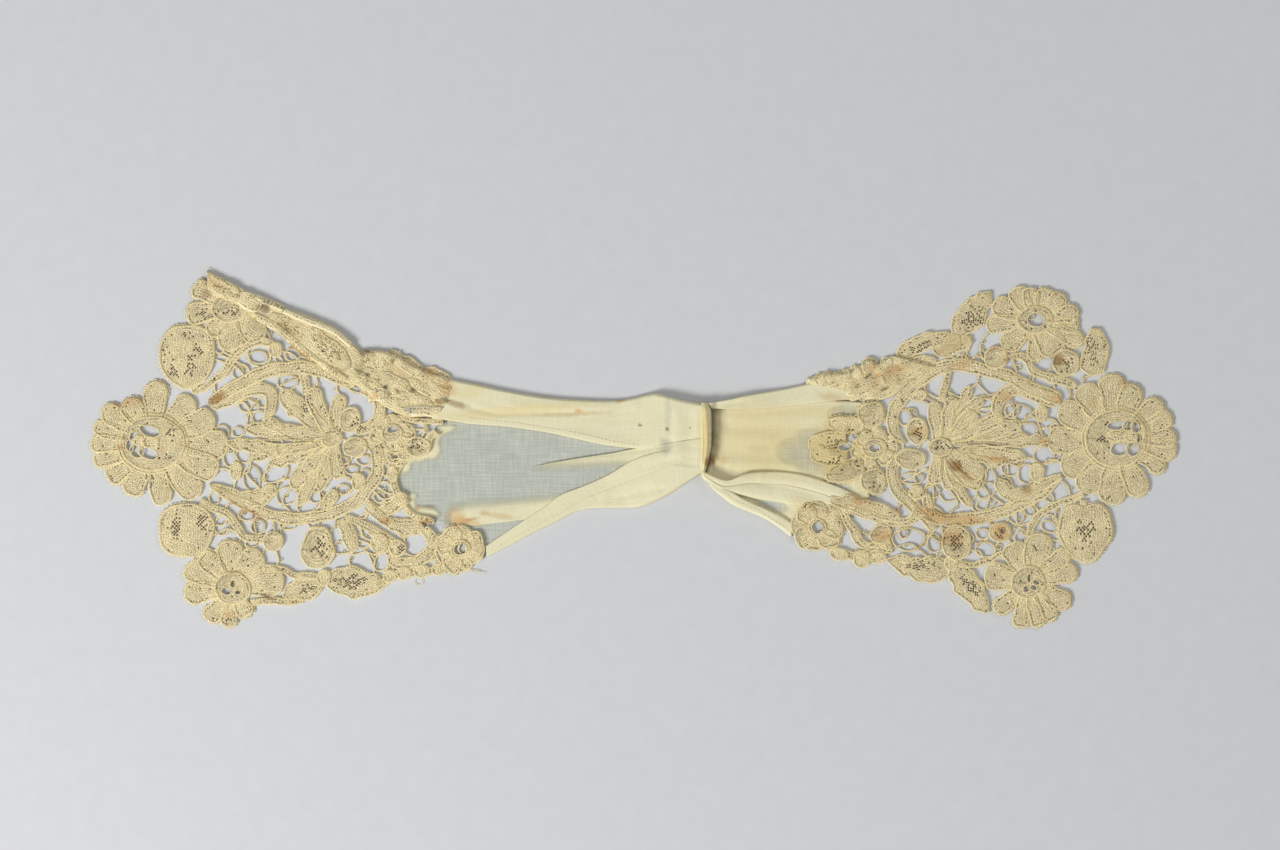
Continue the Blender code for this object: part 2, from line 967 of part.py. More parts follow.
def lace_end(name, tables, openings, across, kept_out, lawn, collection):
    """A lace end: its motifs joined into one wall, raised where its heading lies on the lawn."""
    outlines, ribs = motifs(*tables)
    cut = [ellipse(row) for row in table(openings)]
    tongues = [leaf(words)[0] for words in lines(across)]
    outer, gaps = lace_loops(outlines, cut, tongues, [grown(loop, SEAM_GAP) for loop in kept_out])
    near = grown(lawn, LAP_CLEAR)
    far = grown(lawn, LAP_RAMP)

    def bottom_at(point):
        out = distance_to(lawn, point)
        return SECOND_LAYER * max(0, min(1, (LAP_RAMP - out) / (LAP_RAMP - LAP_CLEAR)))

    def top_at(point, on_rim):
        return bottom_at(point) + CLOTH + (0 if on_rim else RIB_RISE)

    chains = [near + near[:1], far + far[:1]]
    return plate(name, outer, gaps, chains, ribs, bottom_at, top_at, LACE_COLOUR, collection)


def lawn_half(name, outline, collection):
    """A plain flat wall on the table."""
    def bottom_at(point):
        return 0

    def top_at(point, on_rim):
        return CLOTH

    return plate(name, outline, [], [], [], bottom_at, top_at, LAWN_COLOUR, collection)


def strip_outline(text):
    """A strip's outline from above."""
    rows = table(text)
    outer = [place(row["outer_x"], row["outer_y"]) for row in rows]
    inner = [place(row["inner_x"], row["inner_y"]) for row in rows]
    return outer + inner[::-1]


def strip(name, text, section, foot, colour, collection):
    """A fold or pleat: its section carried from row to row of its table, and capped."""
    mesh = bpy.data.meshes.new(name)
    form = bmesh.new()
    rings = []
    for row in table(text):
        outer = place(row["outer_x"], row["outer_y"])
        inner = place(row["inner_x"], row["inner_y"])
        height = row["top"] * MM - foot
        ring = []
        for across, up in section:
            point = outer.lerp(inner, across)
            ring.append(form.verts.new((point.x, point.y, foot + up * height)))
        rings.append(ring)
    for ring, following in zip(rings, rings[1:]):
        for index in range(len(section)):
            nearby = (index + 1) % len(section)
            form.faces.new((ring[index], ring[nearby], following[nearby], following[index]))
    caps = [form.faces.new(rings[0]), form.faces.new(rings[-1])]
    bmesh.ops.poke(form, faces=caps)
    bmesh.ops.triangulate(form, faces=form.faces)
    bmesh.ops.recalc_face_normals(form, faces=form.faces)
    if form.calc_volume(signed=True) < 0:
        bmesh.ops.reverse_faces(form, faces=form.faces)
    form.to_mesh(mesh)
    form.free()
    return solid_object(name, mesh, colour, collection)


def main():
    clear_scene()
    jabot = bpy.data.collections.new("jabot")
    bpy.context.scene.collection.children.link(jabot)

    lawn_left = turned_left(places(LAWN_LEFT.split()))
    lawn_right = turned_left(places(LAWN_RIGHT.split()))
    lawn_half("lawn_left", lawn_left, jabot)
    lawn_half("lawn_right", lawn_right, jabot)

    folds = (
        ("border_fold_left", BORDER_FOLD_LEFT, FOLD_SECTION, 0, FOLD_COLOUR),
        ("border_crumple_left", BORDER_CRUMPLE_LEFT, FOLD_SECTION, 0, FOLD_COLOUR),
        ("border_crumple_right", BORDER_CRUMPLE_RIGHT, FOLD_SECTION, 0, FOLD_COLOUR),
        ("waist_roll", WAIST_ROLL, FOLD_SECTION, 0, LAWN_COLOUR),
        ("pleat_top_left", PLEAT_TOP_LEFT, PLEAT_SECTION, SECOND_LAYER, LAWN_COLOUR),
        ("pleat_wedge_left", PLEAT_WEDGE_LEFT, PLEAT_SECTION, SECOND_LAYER, LAWN_COLOUR),
        ("pleat_fold_left", PLEAT_FOLD_LEFT, PLEAT_SECTION, SECOND_LAYER, LAWN_COLOUR),
        ("pleat_hem_left", PLEAT_HEM_LEFT, PLEAT_SECTION, SECOND_LAYER, LAWN_COLOUR),
        ("pleat_top_right", PLEAT_TOP_RIGHT, PLEAT_SECTION, SECOND_LAYER, LAWN_COLOUR),
        ("pleat_first_right", PLEAT_FIRST_RIGHT, PLEAT_SECTION, SECOND_LAYER, LAWN_COLOUR),
        ("pleat_second_right", PLEAT_SECOND_RIGHT, PLEAT_SECTION, SECOND_LAYER, LAWN_COLOUR),
        ("pleat_hem_right", PLEAT_HEM_RIGHT, PLEAT_SECTION, SECOND_LAYER, LAWN_COLOUR),
    )
    for name, rows, section, foot, colour in folds:
        strip(name, rows, section, foot, colour, jabot)

    left_tables = (HEARTS_LEFT, PETALS_LEFT, DISCS_LEFT, LEAVES_LEFT, BARS_LEFT)
    right_tables = (HEARTS_RIGHT, PETALS_RIGHT, DISCS_RIGHT, LEAVES_RIGHT, BARS_RIGHT)
    left_folds = [strip_outline(rows) for name, rows, *_ in folds if name.endswith("left")]
    right_folds = [strip_outline(rows) for name, rows, *_ in folds if name.endswith("right")]
    lace_end("lace_left", left_tables, OPENINGS_LEFT, TONGUES_LEFT, left_folds, lawn_left, jabot)
    lace_end("lace_right", right_tables, OPENINGS_RIGHT, TONGUES_RIGHT, right_folds, lawn_right, jabot)


main()
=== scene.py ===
# %% [markdown]
# # A laid jabot of lawn and lace
# A jabot is a strip of fine lawn, gathered at the throat, with lace at its ends. This one lies flat, so the
# picture is taken from straight above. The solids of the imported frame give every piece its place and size.
# Here each solid is replaced by cloth: thin shells for lawn and cloth stitch, and tubes for every thread that
# is thick enough to see.

# %% Load the frame
import json
import math
import random

import bmesh
import bpy
import numpy as np
from mathutils import Matrix, Vector, noise
from mathutils.bvhtree import BVHTree
from mathutils.geometry import delaunay_2d_cdt

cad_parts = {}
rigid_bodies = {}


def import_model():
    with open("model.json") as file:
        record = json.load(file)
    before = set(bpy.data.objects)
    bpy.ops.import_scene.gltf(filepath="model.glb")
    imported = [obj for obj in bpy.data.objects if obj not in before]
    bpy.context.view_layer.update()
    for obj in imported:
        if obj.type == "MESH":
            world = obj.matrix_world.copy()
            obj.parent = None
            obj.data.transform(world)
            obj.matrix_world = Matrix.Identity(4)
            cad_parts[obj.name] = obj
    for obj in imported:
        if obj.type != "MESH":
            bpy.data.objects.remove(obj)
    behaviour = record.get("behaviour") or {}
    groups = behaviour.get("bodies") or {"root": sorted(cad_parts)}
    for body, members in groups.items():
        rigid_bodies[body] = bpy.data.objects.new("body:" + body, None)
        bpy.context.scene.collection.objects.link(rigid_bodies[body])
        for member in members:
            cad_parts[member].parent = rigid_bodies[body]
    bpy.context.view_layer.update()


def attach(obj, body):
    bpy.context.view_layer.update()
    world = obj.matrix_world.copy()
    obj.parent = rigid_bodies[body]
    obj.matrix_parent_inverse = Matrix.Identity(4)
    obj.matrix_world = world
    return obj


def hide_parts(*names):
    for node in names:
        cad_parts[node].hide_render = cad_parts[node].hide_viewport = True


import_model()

# %% [markdown]
# Places are read in the photo's pixels, and the overall length gives the size of a pixel. Widths and heights of
# cloth are real millimetres, so a table can be checked with a rule on the real thing.

# %% Sizes and places
MM = 0.001
OVERALL_LENGTH = 0.341
PHOTO_WIDTH = 1280
PHOTO_HEIGHT = 850
PIXEL = OVERALL_LENGTH / (1176 - 92)
MIDDLE_COLUMN = 633.8
MIDDLE_ROW = 449.3


def place(x, y):
    """A pixel of the photo as a point, in metres from the jabot's middle."""
    return Vector(((x - MIDDLE_COLUMN) * PIXEL, (MIDDLE_ROW - y) * PIXEL))


def places(words):
    return [place(*map(float, word.split(","))) for word in words]


def lines(text):
    return [line.split() for line in text.strip().splitlines()]


def table(text):
    """A table's rows, each a dictionary named by the first line."""
    names, *rows = lines(text)
    words = ("flower", "colour", "piece", "node", "slot", "held", "on")
    return [{name: word if name in words else float(word) for name, word in zip(names, row)} for row in rows]


def spline(points, share):
    """A point on the smooth curve through the points, or a value on it where the points are numbers."""
    spans = len(points) - 1
    index = min(int(share * spans), spans - 1)
    t = share * spans - index
    b, c = points[index], points[index + 1]
    a = points[index - 1] if index else 2 * b - c
    d = points[index + 2] if index + 2 <= spans else 2 * c - b
    squared = (2 * a - 5 * b + 4 * c - d) * t ** 2
    cubed = (3 * b - a - 3 * c + d) * t ** 3
    return 0.5 * (2 * b + (c - a) * t + squared + cubed)


def between(pairs, share):
    """The value at a share along a list of (share, value) pairs, eased at each pair."""
    for (start, low), (end, high) in zip(pairs, pairs[1:]):
        if share <= end:
            t = (share - start) / (end - start)
            return low + (high - low) * (0.6 * t + 0.4 * t * t * (3 - 2 * t))
    return pairs[-1][1]


def length_of(points):
    return sum((b - a).length for a, b in zip(points, points[1:]))


print("one pixel is", round(PIXEL / MM, 4), "mm")

# %% [markdown]
# Old cotton isn't one colour. Handling, pins and damp have left tan and rust marks, and where a motif was folded
# they ran along its threads. The same table also paints shade: its olive, grey and pit marks are painted shade in
# the hollows of the crumpled borders, in the groove beside the waist, in shadowed creases and on the dark dots of
# half stitch. Each mark is a soft spot in a table: its middle, its size in millimetres, its turn, a colour and a
# strength. They are laid on the points of the mesh, so lawn, lace and threads age together.

# %% Age marks and painted shade
def linear(hex_colour):
    """An sRGB hex colour as linear red, green, blue and full alpha."""
    channels = [int(hex_colour[i:i + 2], 16) / 255 for i in (1, 3, 5)]
    return [c / 12.92 if c <= 0.04045 else ((c + 0.055) / 1.055) ** 2.4 for c in channels] + [1.0]


# Olive, grey and pit are painted shade colours for hollows, grooves, shadowed creases and half-stitch dots; the
# rest are stains
MARK_AND_SHADE_COLOURS = {
    "rust": "#A87A38",
    "orange": "#D6AB6C",
    "tan": "#D2B57C",
    "brown": "#8F6A3C",
    "olive": "#8E8050",
    "pit": "#6B6140",
    "straw": "#E6D08C",
    "grey": "#9A9C92",
}
MARKS_AND_SHADES = """
x y wide high turn colour strength
217 399 7.0 2.6 28 rust 0.80
253 515 6.0 2.4 -20 orange 0.75
240 508 9.0 3.0 -25 tan 0.60
355 396 3.4 2.6 0 orange 0.80
374 397 3.0 2.4 0 orange 0.60
385 521 5.0 2.2 -20 orange 0.75
426 522 4.0 2.4 0 orange 0.80
448 388 6.0 4.0 -30 orange 0.60
430 372 5.0 3.0 -30 orange 0.55
408 352 3.0 2.6 0 brown 0.50
439 402 4.0 2.4 0 tan 0.60
456 404 8.0 2.0 -12 brown 0.60
444 400.5 3.6 1.6 0 pit 0.60
289 328 5.0 3.4 -35 olive 0.22
322 340 5.0 3.0 -40 olive 0.22
338 355 5.0 3.0 -45 olive 0.22
256 325 6.0 3.0 -40 olive 0.20
267 308 2.4 2.6 0 olive 0.80
448 523 4.0 3.0 0 brown 0.20
456 516 6.0 6.0 6 orange 0.40
461 522 5.0 1.2 6 orange 0.75
470 519.5 6.0 0.8 12 rust 0.55
430 507 5.0 1.0 0 rust 0.55
800 452 30 18 0 straw 0.30
466 521 10 2.4 -14 orange 0.55
500 516 12 1.6 -8 tan 0.55
484 513 2.4 1.6 0 orange 0.60
417 508 2.4 1.6 0 rust 0.60
268 597 4.4 1.4 -20 brown 0.75
294 602 5.0 1.2 -10 orange 0.60
229 615 2.4 1.8 0 orange 0.70
232 572 2.6 1.6 0 orange 0.50
128 402 12 3.0 10 orange 0.45
120 448 2.0 2.0 0 orange 0.60
162 449 2.0 1.6 0 orange 0.50
207 294 3.6 2.4 0 brown 0.55
215 284 8.0 3.0 -30 tan 0.50
262 309 5.0 3.0 0 brown 0.40
266 308 3.0 5.0 0 grey 0.35
286 329 9.0 2.6 -35 tan 0.60
300 352 14 2.0 -38 orange 0.40
340 372 10 3.0 -45 tan 0.40
365 352 4.0 3.0 0 brown 0.55
579 411 2.6 1.4 0 orange 0.75
570 414 24 1.2 2 tan 0.50
620 401 3.4 1.0 12 orange 0.65
640 425 0.9 0.9 0 brown 0.95
667 429 1.1 1.1 0 brown 0.95
690 428 0.7 0.7 0 brown 0.60
668 415 2.0 14 0 grey 0.30
666 447 3.6 5.0 0 grey 0.45
709 462 3.2 3.0 30 rust 0.85
714 430 2.0 21 0 olive 0.60
705 436 3.8 22 0 straw 0.65
754 440 26 22 0 straw 0.45
820 412 30 4.0 0 straw 0.40
512 411 44 3.6 5 straw 0.50
470 392 12 5.0 25 straw 0.30
360 369 3.0 5.0 -10 olive 0.55
386 387 1.7 1.4 0 pit 0.95
379 380 1.2 0.9 0 pit 0.85
413 390 1.9 1.5 0 olive 0.90
398 391 2.2 1.1 -30 olive 0.75
438 401 2.6 1.3 20 pit 0.85
368 375 1.6 1.2 0 pit 0.70
393 361 1.6 2.0 -20 olive 0.75
412 410 4.0 1.8 0 grey 0.55
400 372 6.0 2.0 -35 tan 0.45
868 376 3.4 1.0 40 pit 0.70
884 389 2.6 0.9 25 pit 0.75
857 386 2.0 0.8 40 olive 0.70
876 376 2.6 1.4 30 orange 0.60
712 458 2.0 4.0 20 brown 0.80
705 430 1.4 22 0 orange 0.35
756 431 0.8 0.8 0 rust 0.95
722 460 3.6 3.0 0 tan 0.60
760 449 8.0 2.6 0 grey 0.35
808 505 14 3.0 -20 tan 0.40
862 500 12 2.6 -30 tan 0.45
857 502 4.0 3.0 -20 orange 0.65
1057 360 4.0 4.0 30 rust 0.75
1056 399 6.0 2.0 -20 orange 0.65
1004 396 6.0 4.0 -10 orange 0.55
1042 441 5.0 1.4 0 orange 0.70
995 459 8.0 2.0 -5 orange 0.70
956 466 5.0 3.0 -50 rust 0.85
966 476 6.0 2.2 -40 rust 0.60
1027 489 3.6 3.0 -20 rust 0.60
900 510 5.0 3.4 -30 orange 0.70
955 519 20 3.6 -5 orange 0.65
930 512 10 3.2 -20 orange 0.55
1000 532 5.6 5.6 0 orange 0.75
952 537 8.0 6.0 0 orange 0.60
958 545 4.0 6.0 0 olive 0.40
881 535 6.0 4.0 0 orange 0.65
917 432 4.6 3.4 0 orange 0.75
925 548 6.0 2.0 -15 orange 0.50
1124 382 4.0 3.0 20 orange 0.45
1092 404 3.0 2.0 0 orange 0.40
962 364 8.0 3.0 20 orange 0.40
894 370 9.0 2.6 20 orange 0.55
870 368 6.0 2.6 20 orange 0.45
833 398 9.0 3.0 -10 tan 0.55
880 380 20 6.0 20 tan 0.35
993 345 5.0 3.0 0 orange 0.45
1010 360 5.0 4.0 0 tan 0.45
950 347 12 3.0 20 tan 0.55
838 448 16 18 0 straw 0.45
"""


def spots(text):
    """Each row as its middle, the turn to its own axes, its half sizes and the row itself."""
    made = []
    for row in table(text):
        turn = Matrix.Rotation(math.radians(-row["turn"]), 2)
        made.append((place(row["x"], row["y"]), turn, row["wide"] / 2 * MM, row["high"] / 2 * MM, row))
    return made


def cover(spot, point):
    """How much of a spot lies on a point, from 1 in its middle to 0 past its edge."""
    middle, turn, wide, high, _ = spot
    reach = 1.6 * max(wide, high)
    off = Vector((point[0] - middle.x, point[1] - middle.y))
    if abs(off.x) > reach or abs(off.y) > reach:
        return 0
    off = turn @ off
    ragged = 0.35 * noise.noise(Vector((point[0], point[1], 0)) * 600)
    out = math.hypot(off.x / wide, off.y / high) + ragged
    return max(0, min(1, (1.35 - out) / 0.8))


AGE_AND_SHADE_SPOTS = [(spot, linear(MARK_AND_SHADE_COLOURS[spot[4]["colour"]]), spot[4]["strength"]) for spot in spots(MARKS_AND_SHADES)]

def ages_and_shades_of(points):
    """The linear colour that age marks and painted shade marks lay on each point, with how strongly as its alpha.
    """
    flat = np.array([(point[0], point[1]) for point in points])
    tints = [(0.0, 0.0, 0.0, 0.0)] * len(points)
    for spot, new, full_strength in AGE_AND_SHADE_SPOTS:
        off = np.abs(flat - np.array(spot[0])).max(axis=1)
        for index in np.flatnonzero(off < 1.6 * max(spot[2], spot[3])):
            share = cover(spot, points[index]) * full_strength
            if not share:
                continue
            *old, strength = tints[index]
            total = strength + share * (1 - strength)
            mix = [(a * strength + b * (total - strength)) / total for a, b in zip(old, new)]
            tints[index] = (*mix, total)
    return tints


print(len(AGE_AND_SHADE_SPOTS), "age marks")

# %% [markdown]
# Every piece is gathered in one way. Rows of points become quads, a path becomes a tube, and each point keeps
# three numbers for its material: millimetres across the threads, millimetres along them, and a third that is
# the distance to the motif's rim on lace, or the number of layers on lawn.

# %% Gathering cloth and thread
def add_point_values(mesh, name, kind, field, values):
    attribute = mesh.attributes.new(name, kind, "POINT")
    attribute.data.foreach_set(field, [number for value in values for number in value])


class Cloth:
    """The points and faces of one piece, and what its material needs to know at each point."""

    def __init__(self):
        self.points = []
        self.faces = []
        self.threads = []

    def grid(self, rows, left_out=None):
        """Quads between rows of (point, thread) pairs, but for the cells that are left out."""
        start = len(self.points)
        wide = len(rows[0])
        for row in rows:
            for point, thread in row:
                self.points.append(point)
                self.threads.append(thread)
        for i in range(len(rows) - 1):
            for j in range(wide - 1):
                corner = start + i * wide + j
                if left_out and left_out(i, j, self.points[corner], self.points[corner + wide + 1]):
                    continue
                self.faces.append((corner, corner + 1, corner + wide + 1, corner + wide))

    def tube(self, path, radius, sides=5, thin_ends=False):
        """A thread of a radius along a path of points."""
        start = len(self.points)
        along = 0
        for index, here in enumerate(path):
            before, after = path[max(index - 1, 0)], path[min(index + 1, len(path) - 1)]
            run = (after - before).normalized()
            side = run.cross(Vector((0, 0, 1)))
            side = side.normalized() if side.length > 0.1 else Vector((1, 0, 0))
            up = side.cross(run)
            along += (here - before).length / MM
            wide = radius * (0.45 if thin_ends and index in (0, len(path) - 1) else 1)
            for step in range(sides):
                angle = math.tau * step / sides
                self.points.append(here + (side * math.cos(angle) + up * math.sin(angle)) * wide)
                self.threads.append((step / sides, along, 0))
        for index in range(len(path) - 1):
            for step in range(sides):
                corner = start + index * sides
                nearby = start + index * sides + (step + 1) % sides
                self.faces.append((corner, nearby, nearby + sides, corner + sides))
        self.faces.append(tuple(start + step for step in reversed(range(sides))))
        self.faces.append(tuple(start + (len(path) - 1) * sides + step for step in range(sides)))

    def closed(self, feet):
        """Adds an underside at each point's foot and the edges, so that the cloth is a closed shell."""
        count = len(self.points)
        edges = {(a, b) for face in self.faces for a, b in zip(face, face[1:] + face[:1])}
        undersides = [tuple(i + count for i in reversed(face)) for face in self.faces]
        walls = [(b, a, a + count, b + count) for a, b in edges if (b, a) not in edges]
        self.points += [Vector((point.x, point.y, foot)) for point, foot in zip(self.points, feet)]
        self.threads += self.threads
        self.faces += undersides + sorted(walls)

    def piece(self, name, material):
        """The gathered mesh as an object that rides on the jabot."""
        used = sorted({i for face in self.faces for i in face})
        new_index = {old: new for new, old in enumerate(used)}
        points = [self.points[i] for i in used]
        mesh = bpy.data.meshes.new(name)
        mesh.from_pydata(points, [], [[new_index[i] for i in face] for face in self.faces])
        form = bmesh.new()
        form.from_mesh(mesh)
        bmesh.ops.recalc_face_normals(form, faces=form.faces)
        if any(edge.is_boundary for edge in form.edges) and sum(face.normal.z for face in form.faces) < 0:
            bmesh.ops.reverse_faces(form, faces=form.faces)
        form.to_mesh(mesh)
        form.free()
        mesh.shade_smooth()
        add_point_values(mesh, "thread", "FLOAT_VECTOR", "vector", [self.threads[i] for i in used])
        add_point_values(mesh, "age_and_shade", "FLOAT_COLOR", "color", ages_and_shades_of(points))
        mesh.materials.append(material)
        obj = bpy.data.objects.new(name, mesh)
        bpy.context.scene.collection.objects.link(obj)
        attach(obj, "root")
        area = sum(face.area for face in mesh.polygons)
        print(name, len(mesh.polygons), "faces,", round(area / MM / MM), "square mm")
        return obj


# %% [markdown]
# All the cloth is cotton or linen: matte, with a faint sheen from loose fibres. A fabric's IOR is about 1.5 and
# its roughness 0.8 to 0.9. One helper adds any shader node with its settings and links.

# %% Shader helper
FABRIC_IOR = 1.5
SOCKET = bpy.types.NodeSocket
# A mix of two colours takes its share on socket 0 and the colours on 6 and 7
COLOURS = {"data_type": "RGBA", "clamp_factor": True}


def add(tree, kind, inputs=None, **settings):
    """A shader node of a kind, with settings, and with values or links for its inputs."""
    made = tree.nodes.new("ShaderNode" + kind)
    for name, value in settings.items():
        setattr(made, name, value)
    for name, value in (inputs or {}).items():
        if isinstance(value, SOCKET):
            tree.links.new(value, made.inputs[name])
        else:
            made.inputs[name].default_value = value
    return made


def new_fabric(name, roughness, sheen):
    """A fabric material with its tree, its shader and the three numbers of each point."""
    material = bpy.data.materials.new(name)
    material.use_nodes = True
    tree = material.node_tree
    shader = tree.nodes["Principled BSDF"]
    shader.inputs["Roughness"].default_value = roughness
    shader.inputs["IOR"].default_value = FABRIC_IOR
    shader.inputs["Sheen Weight"].default_value = sheen
    shader.inputs["Sheen Roughness"].default_value = 0.5
    thread = add(tree, "Attribute", attribute_name="thread")
    parts = add(tree, "SeparateXYZ", {0: thread.outputs["Vector"]})
    return material, tree, shader, thread.outputs["Vector"], parts.outputs


def ripple(tree, value, pitch):
    """A wave from 0 to 1 that repeats each pitch of a value in millimetres."""
    turned = add(tree, "Math", {0: value, 1: math.tau / pitch}, operation="MULTIPLY").outputs[0]
    wave = add(tree, "Math", {0: turned}, operation="SINE").outputs[0]
    return add(tree, "MapRange", {0: wave, 1: -1.0, 2: 1.0}).outputs[0]


def aged_and_shaded(tree, colour):
    """The colour with the age marks and the painted shade marks over it."""
    age_and_shade = add(tree, "Attribute", attribute_name="age_and_shade")
    return add(tree, "Mix", {0: age_and_shade.outputs["Alpha"], 6: colour, 7: age_and_shade.outputs["Color"]}, **COLOURS).outputs[2]


print("a fabric bends light by", FABRIC_IOR)

# %% [markdown]
# Cloth stitch is plain weaving on the lace pillow: passive threads run along the motif and a weaver crosses
# them. From a step away it is a net of pale threads with a small grey gap at each mesh, closer here and looser
# there: the thread tops get a painted highlight and the gaps a painted shade. A row of pinholes follows the rim,
# where the weaver turned round its pins; they are painted dark shade, in patches. The real threads are near
# 0.2 mm and their mesh 0.5 mm; the net is drawn at 0.78 by 0.68 mm so that it shows.

# %% Lace materials
PASSIVE_PITCH = 0.78
WEAVER_PITCH = 0.68
PIN_PITCH = 1.15
PIN_INSET = 0.85


def cloth_stitch(name, body, shade, pale, gap_shade, pinhole_shade, looseness):
    """Cotton cloth stitch: matte threads with a painted highlight, painted shade in the gaps between them, and
    pinholes near the rim painted dark.
    """
    material, tree, shader, thread, _ = new_fabric(name, 0.85, 0.15)
    drift = add(tree, "TexNoise", {"Vector": thread, "Scale": 0.7, "Detail": 3.0}).outputs["Color"]
    moved = add(tree, "VectorMath", {0: drift, 1: (1.9, 1.9, 0.0), 2: thread}, operation="MULTIPLY_ADD")
    across, along, rim = add(tree, "SeparateXYZ", {0: moved.outputs[0]}).outputs
    passive = ripple(tree, across, PASSIVE_PITCH)
    slanted = add(tree, "Math", {0: across, 1: WEAVER_PITCH / 2 / PASSIVE_PITCH, 2: along},
                  operation="MULTIPLY_ADD").outputs[0]
    weaver = ripple(tree, slanted, WEAVER_PITCH)
    net = add(tree, "Math", {0: passive, 1: weaver}, operation="ADD").outputs[0]
    meshes = add(tree, "MapRange", {0: net, 1: 0.75, 2: 0.15}).outputs[0]
    patches = add(tree, "TexNoise", {"Vector": thread, "Scale": 0.28, "Detail": 3.0}).outputs["Fac"]
    loose = add(tree, "MapRange", {0: patches, 1: 0.38, 2: 0.62, 3: 0.35, 4: 1.0}).outputs[0]
    meshes = add(tree, "Math", {0: meshes, 1: loose}, operation="MULTIPLY").outputs[0]
    meshes = add(tree, "Math", {0: meshes, 1: looseness}, operation="MULTIPLY").outputs[0]

    blotch = add(tree, "TexNoise", {"Vector": thread, "Scale": 0.12, "Detail": 2.0}).outputs["Fac"]
    blotch = add(tree, "MapRange", {0: blotch, 1: 0.40, 2: 0.62}).outputs[0]
    colour = add(tree, "Mix", {0: blotch, 6: linear(body), 7: linear(shade)}, **COLOURS).outputs[2]
    # Painted light: thread tops are lightened towards pale, and the gaps between them are painted in shade
    lit = add(tree, "MapRange", {0: net, 1: 0.9, 2: 1.9}).outputs[0]
    colour = add(tree, "Mix", {0: lit, 6: colour, 7: linear(pale)}, **COLOURS).outputs[2]
    colour = add(tree, "Mix", {0: meshes, 6: colour, 7: linear(gap_shade)}, **COLOURS).outputs[2]
    at_rim = add(tree, "MapRange", {0: rim, 1: 0.8, 2: 0.2}).outputs[0]
    colour = add(tree, "Mix", {0: at_rim, 6: colour, 7: linear(pale)}, **COLOURS).outputs[2]
    colour = aged_and_shaded(tree, colour)

    # The pinholes are painted dark shade in a row near the rim, shown in random patches
    row = add(tree, "Math", {0: along, 1: PIN_PITCH}, operation="MODULO").outputs[0]
    row = add(tree, "Math", {0: row, 1: 0.55, 2: 0.24}, operation="COMPARE").outputs[0]
    inset = add(tree, "Math", {0: rim, 1: PIN_INSET, 2: 0.20}, operation="COMPARE").outputs[0]
    pin_patches = add(tree, "TexNoise", {"Vector": thread, "Scale": 0.2, "Detail": 0.0}).outputs["Fac"]
    pin_patches = add(tree, "Math", {0: pin_patches, 1: 0.44}, operation="GREATER_THAN").outputs[0]
    pins = add(tree, "Math", {0: row, 1: inset}, operation="MULTIPLY").outputs[0]
    pins = add(tree, "Math", {0: pins, 1: pin_patches}, operation="MULTIPLY").outputs[0]
    dark = add(tree, "Math", {0: pins, 1: 0.7}, operation="MULTIPLY").outputs[0]
    colour = add(tree, "Mix", {0: dark, 6: colour, 7: linear(pinhole_shade)}, **COLOURS).outputs[2]
    tree.links.new(colour, shader.inputs["Base Color"])

    height = add(tree, "Math", {0: net, 1: 0.5}, operation="MULTIPLY").outputs[0]
    height = add(tree, "Math", {0: height, 1: pins}, operation="SUBTRACT").outputs[0]
    relief = add(tree, "Bump", {"Height": height, "Distance": 0.14 * MM, "Strength": 1.0})
    tree.links.new(relief.outputs[0], shader.inputs["Normal"])
    return material


def thread_material(name, colour, shade):
    """A twisted cotton thread: the twist shows as slanting lines round the tube."""
    material, tree, shader, thread, (around, along, _) = new_fabric(name, 0.8, 0.2)
    turns = add(tree, "Math", {0: around, 1: 0.9, 2: along}, operation="MULTIPLY_ADD").outputs[0]
    twist = ripple(tree, turns, 0.9)
    dull = add(tree, "Math", {0: twist, 1: 0.45}, operation="MULTIPLY").outputs[0]
    colour = add(tree, "Mix", {0: dull, 6: linear(colour), 7: linear(shade)}, **COLOURS).outputs[2]
    tree.links.new(aged_and_shaded(tree, colour), shader.inputs["Base Color"])
    relief = add(tree, "Bump", {"Height": twist, "Distance": 0.08 * MM, "Strength": 1.0})
    tree.links.new(relief.outputs[0], shader.inputs["Normal"])
    return material


# The third colour, pale, also paints the highlight on the threads; the fourth is the painted shade in the gaps and
# the fifth the painted shade of the pinholes
STITCH_CLOTH = cloth_stitch("ecru cotton cloth stitch", "#E8D4A1", "#D3C194", "#FFF1C2", "#8C7F58", "#4A4230", 0.85)
FOLDED_CLOTH = cloth_stitch("ecru cotton folded border", "#F3E1AC", "#E5D09B", "#FFF3C6", "#A08C5A", "#7A6A44", 0.9)
OUTLINE_THREAD = thread_material("ecru cotton outline thread", "#FFF2C2", "#F0DBA0")
GROUND_THREAD = thread_material("ecru cotton bar thread", "#FDEFC1", "#EAD69E")
print("lace materials made")

# %% [markdown]
# Lawn is a fine, even linen or cotton weave. One layer is sheer: the table shows through and greys it. Two or
# more layers are cream and hide the table. The real threads are 0.3 mm apart; they are drawn 0.6 mm apart, with
# thicker slubs that run on for a centimetre or two, as hand-spun thread does.

# %% Lawn material
LAWN_PITCH = 0.62
# The painted shade along a crisp folded edge of the lawn
EDGE_SHADE = "#BFA263"


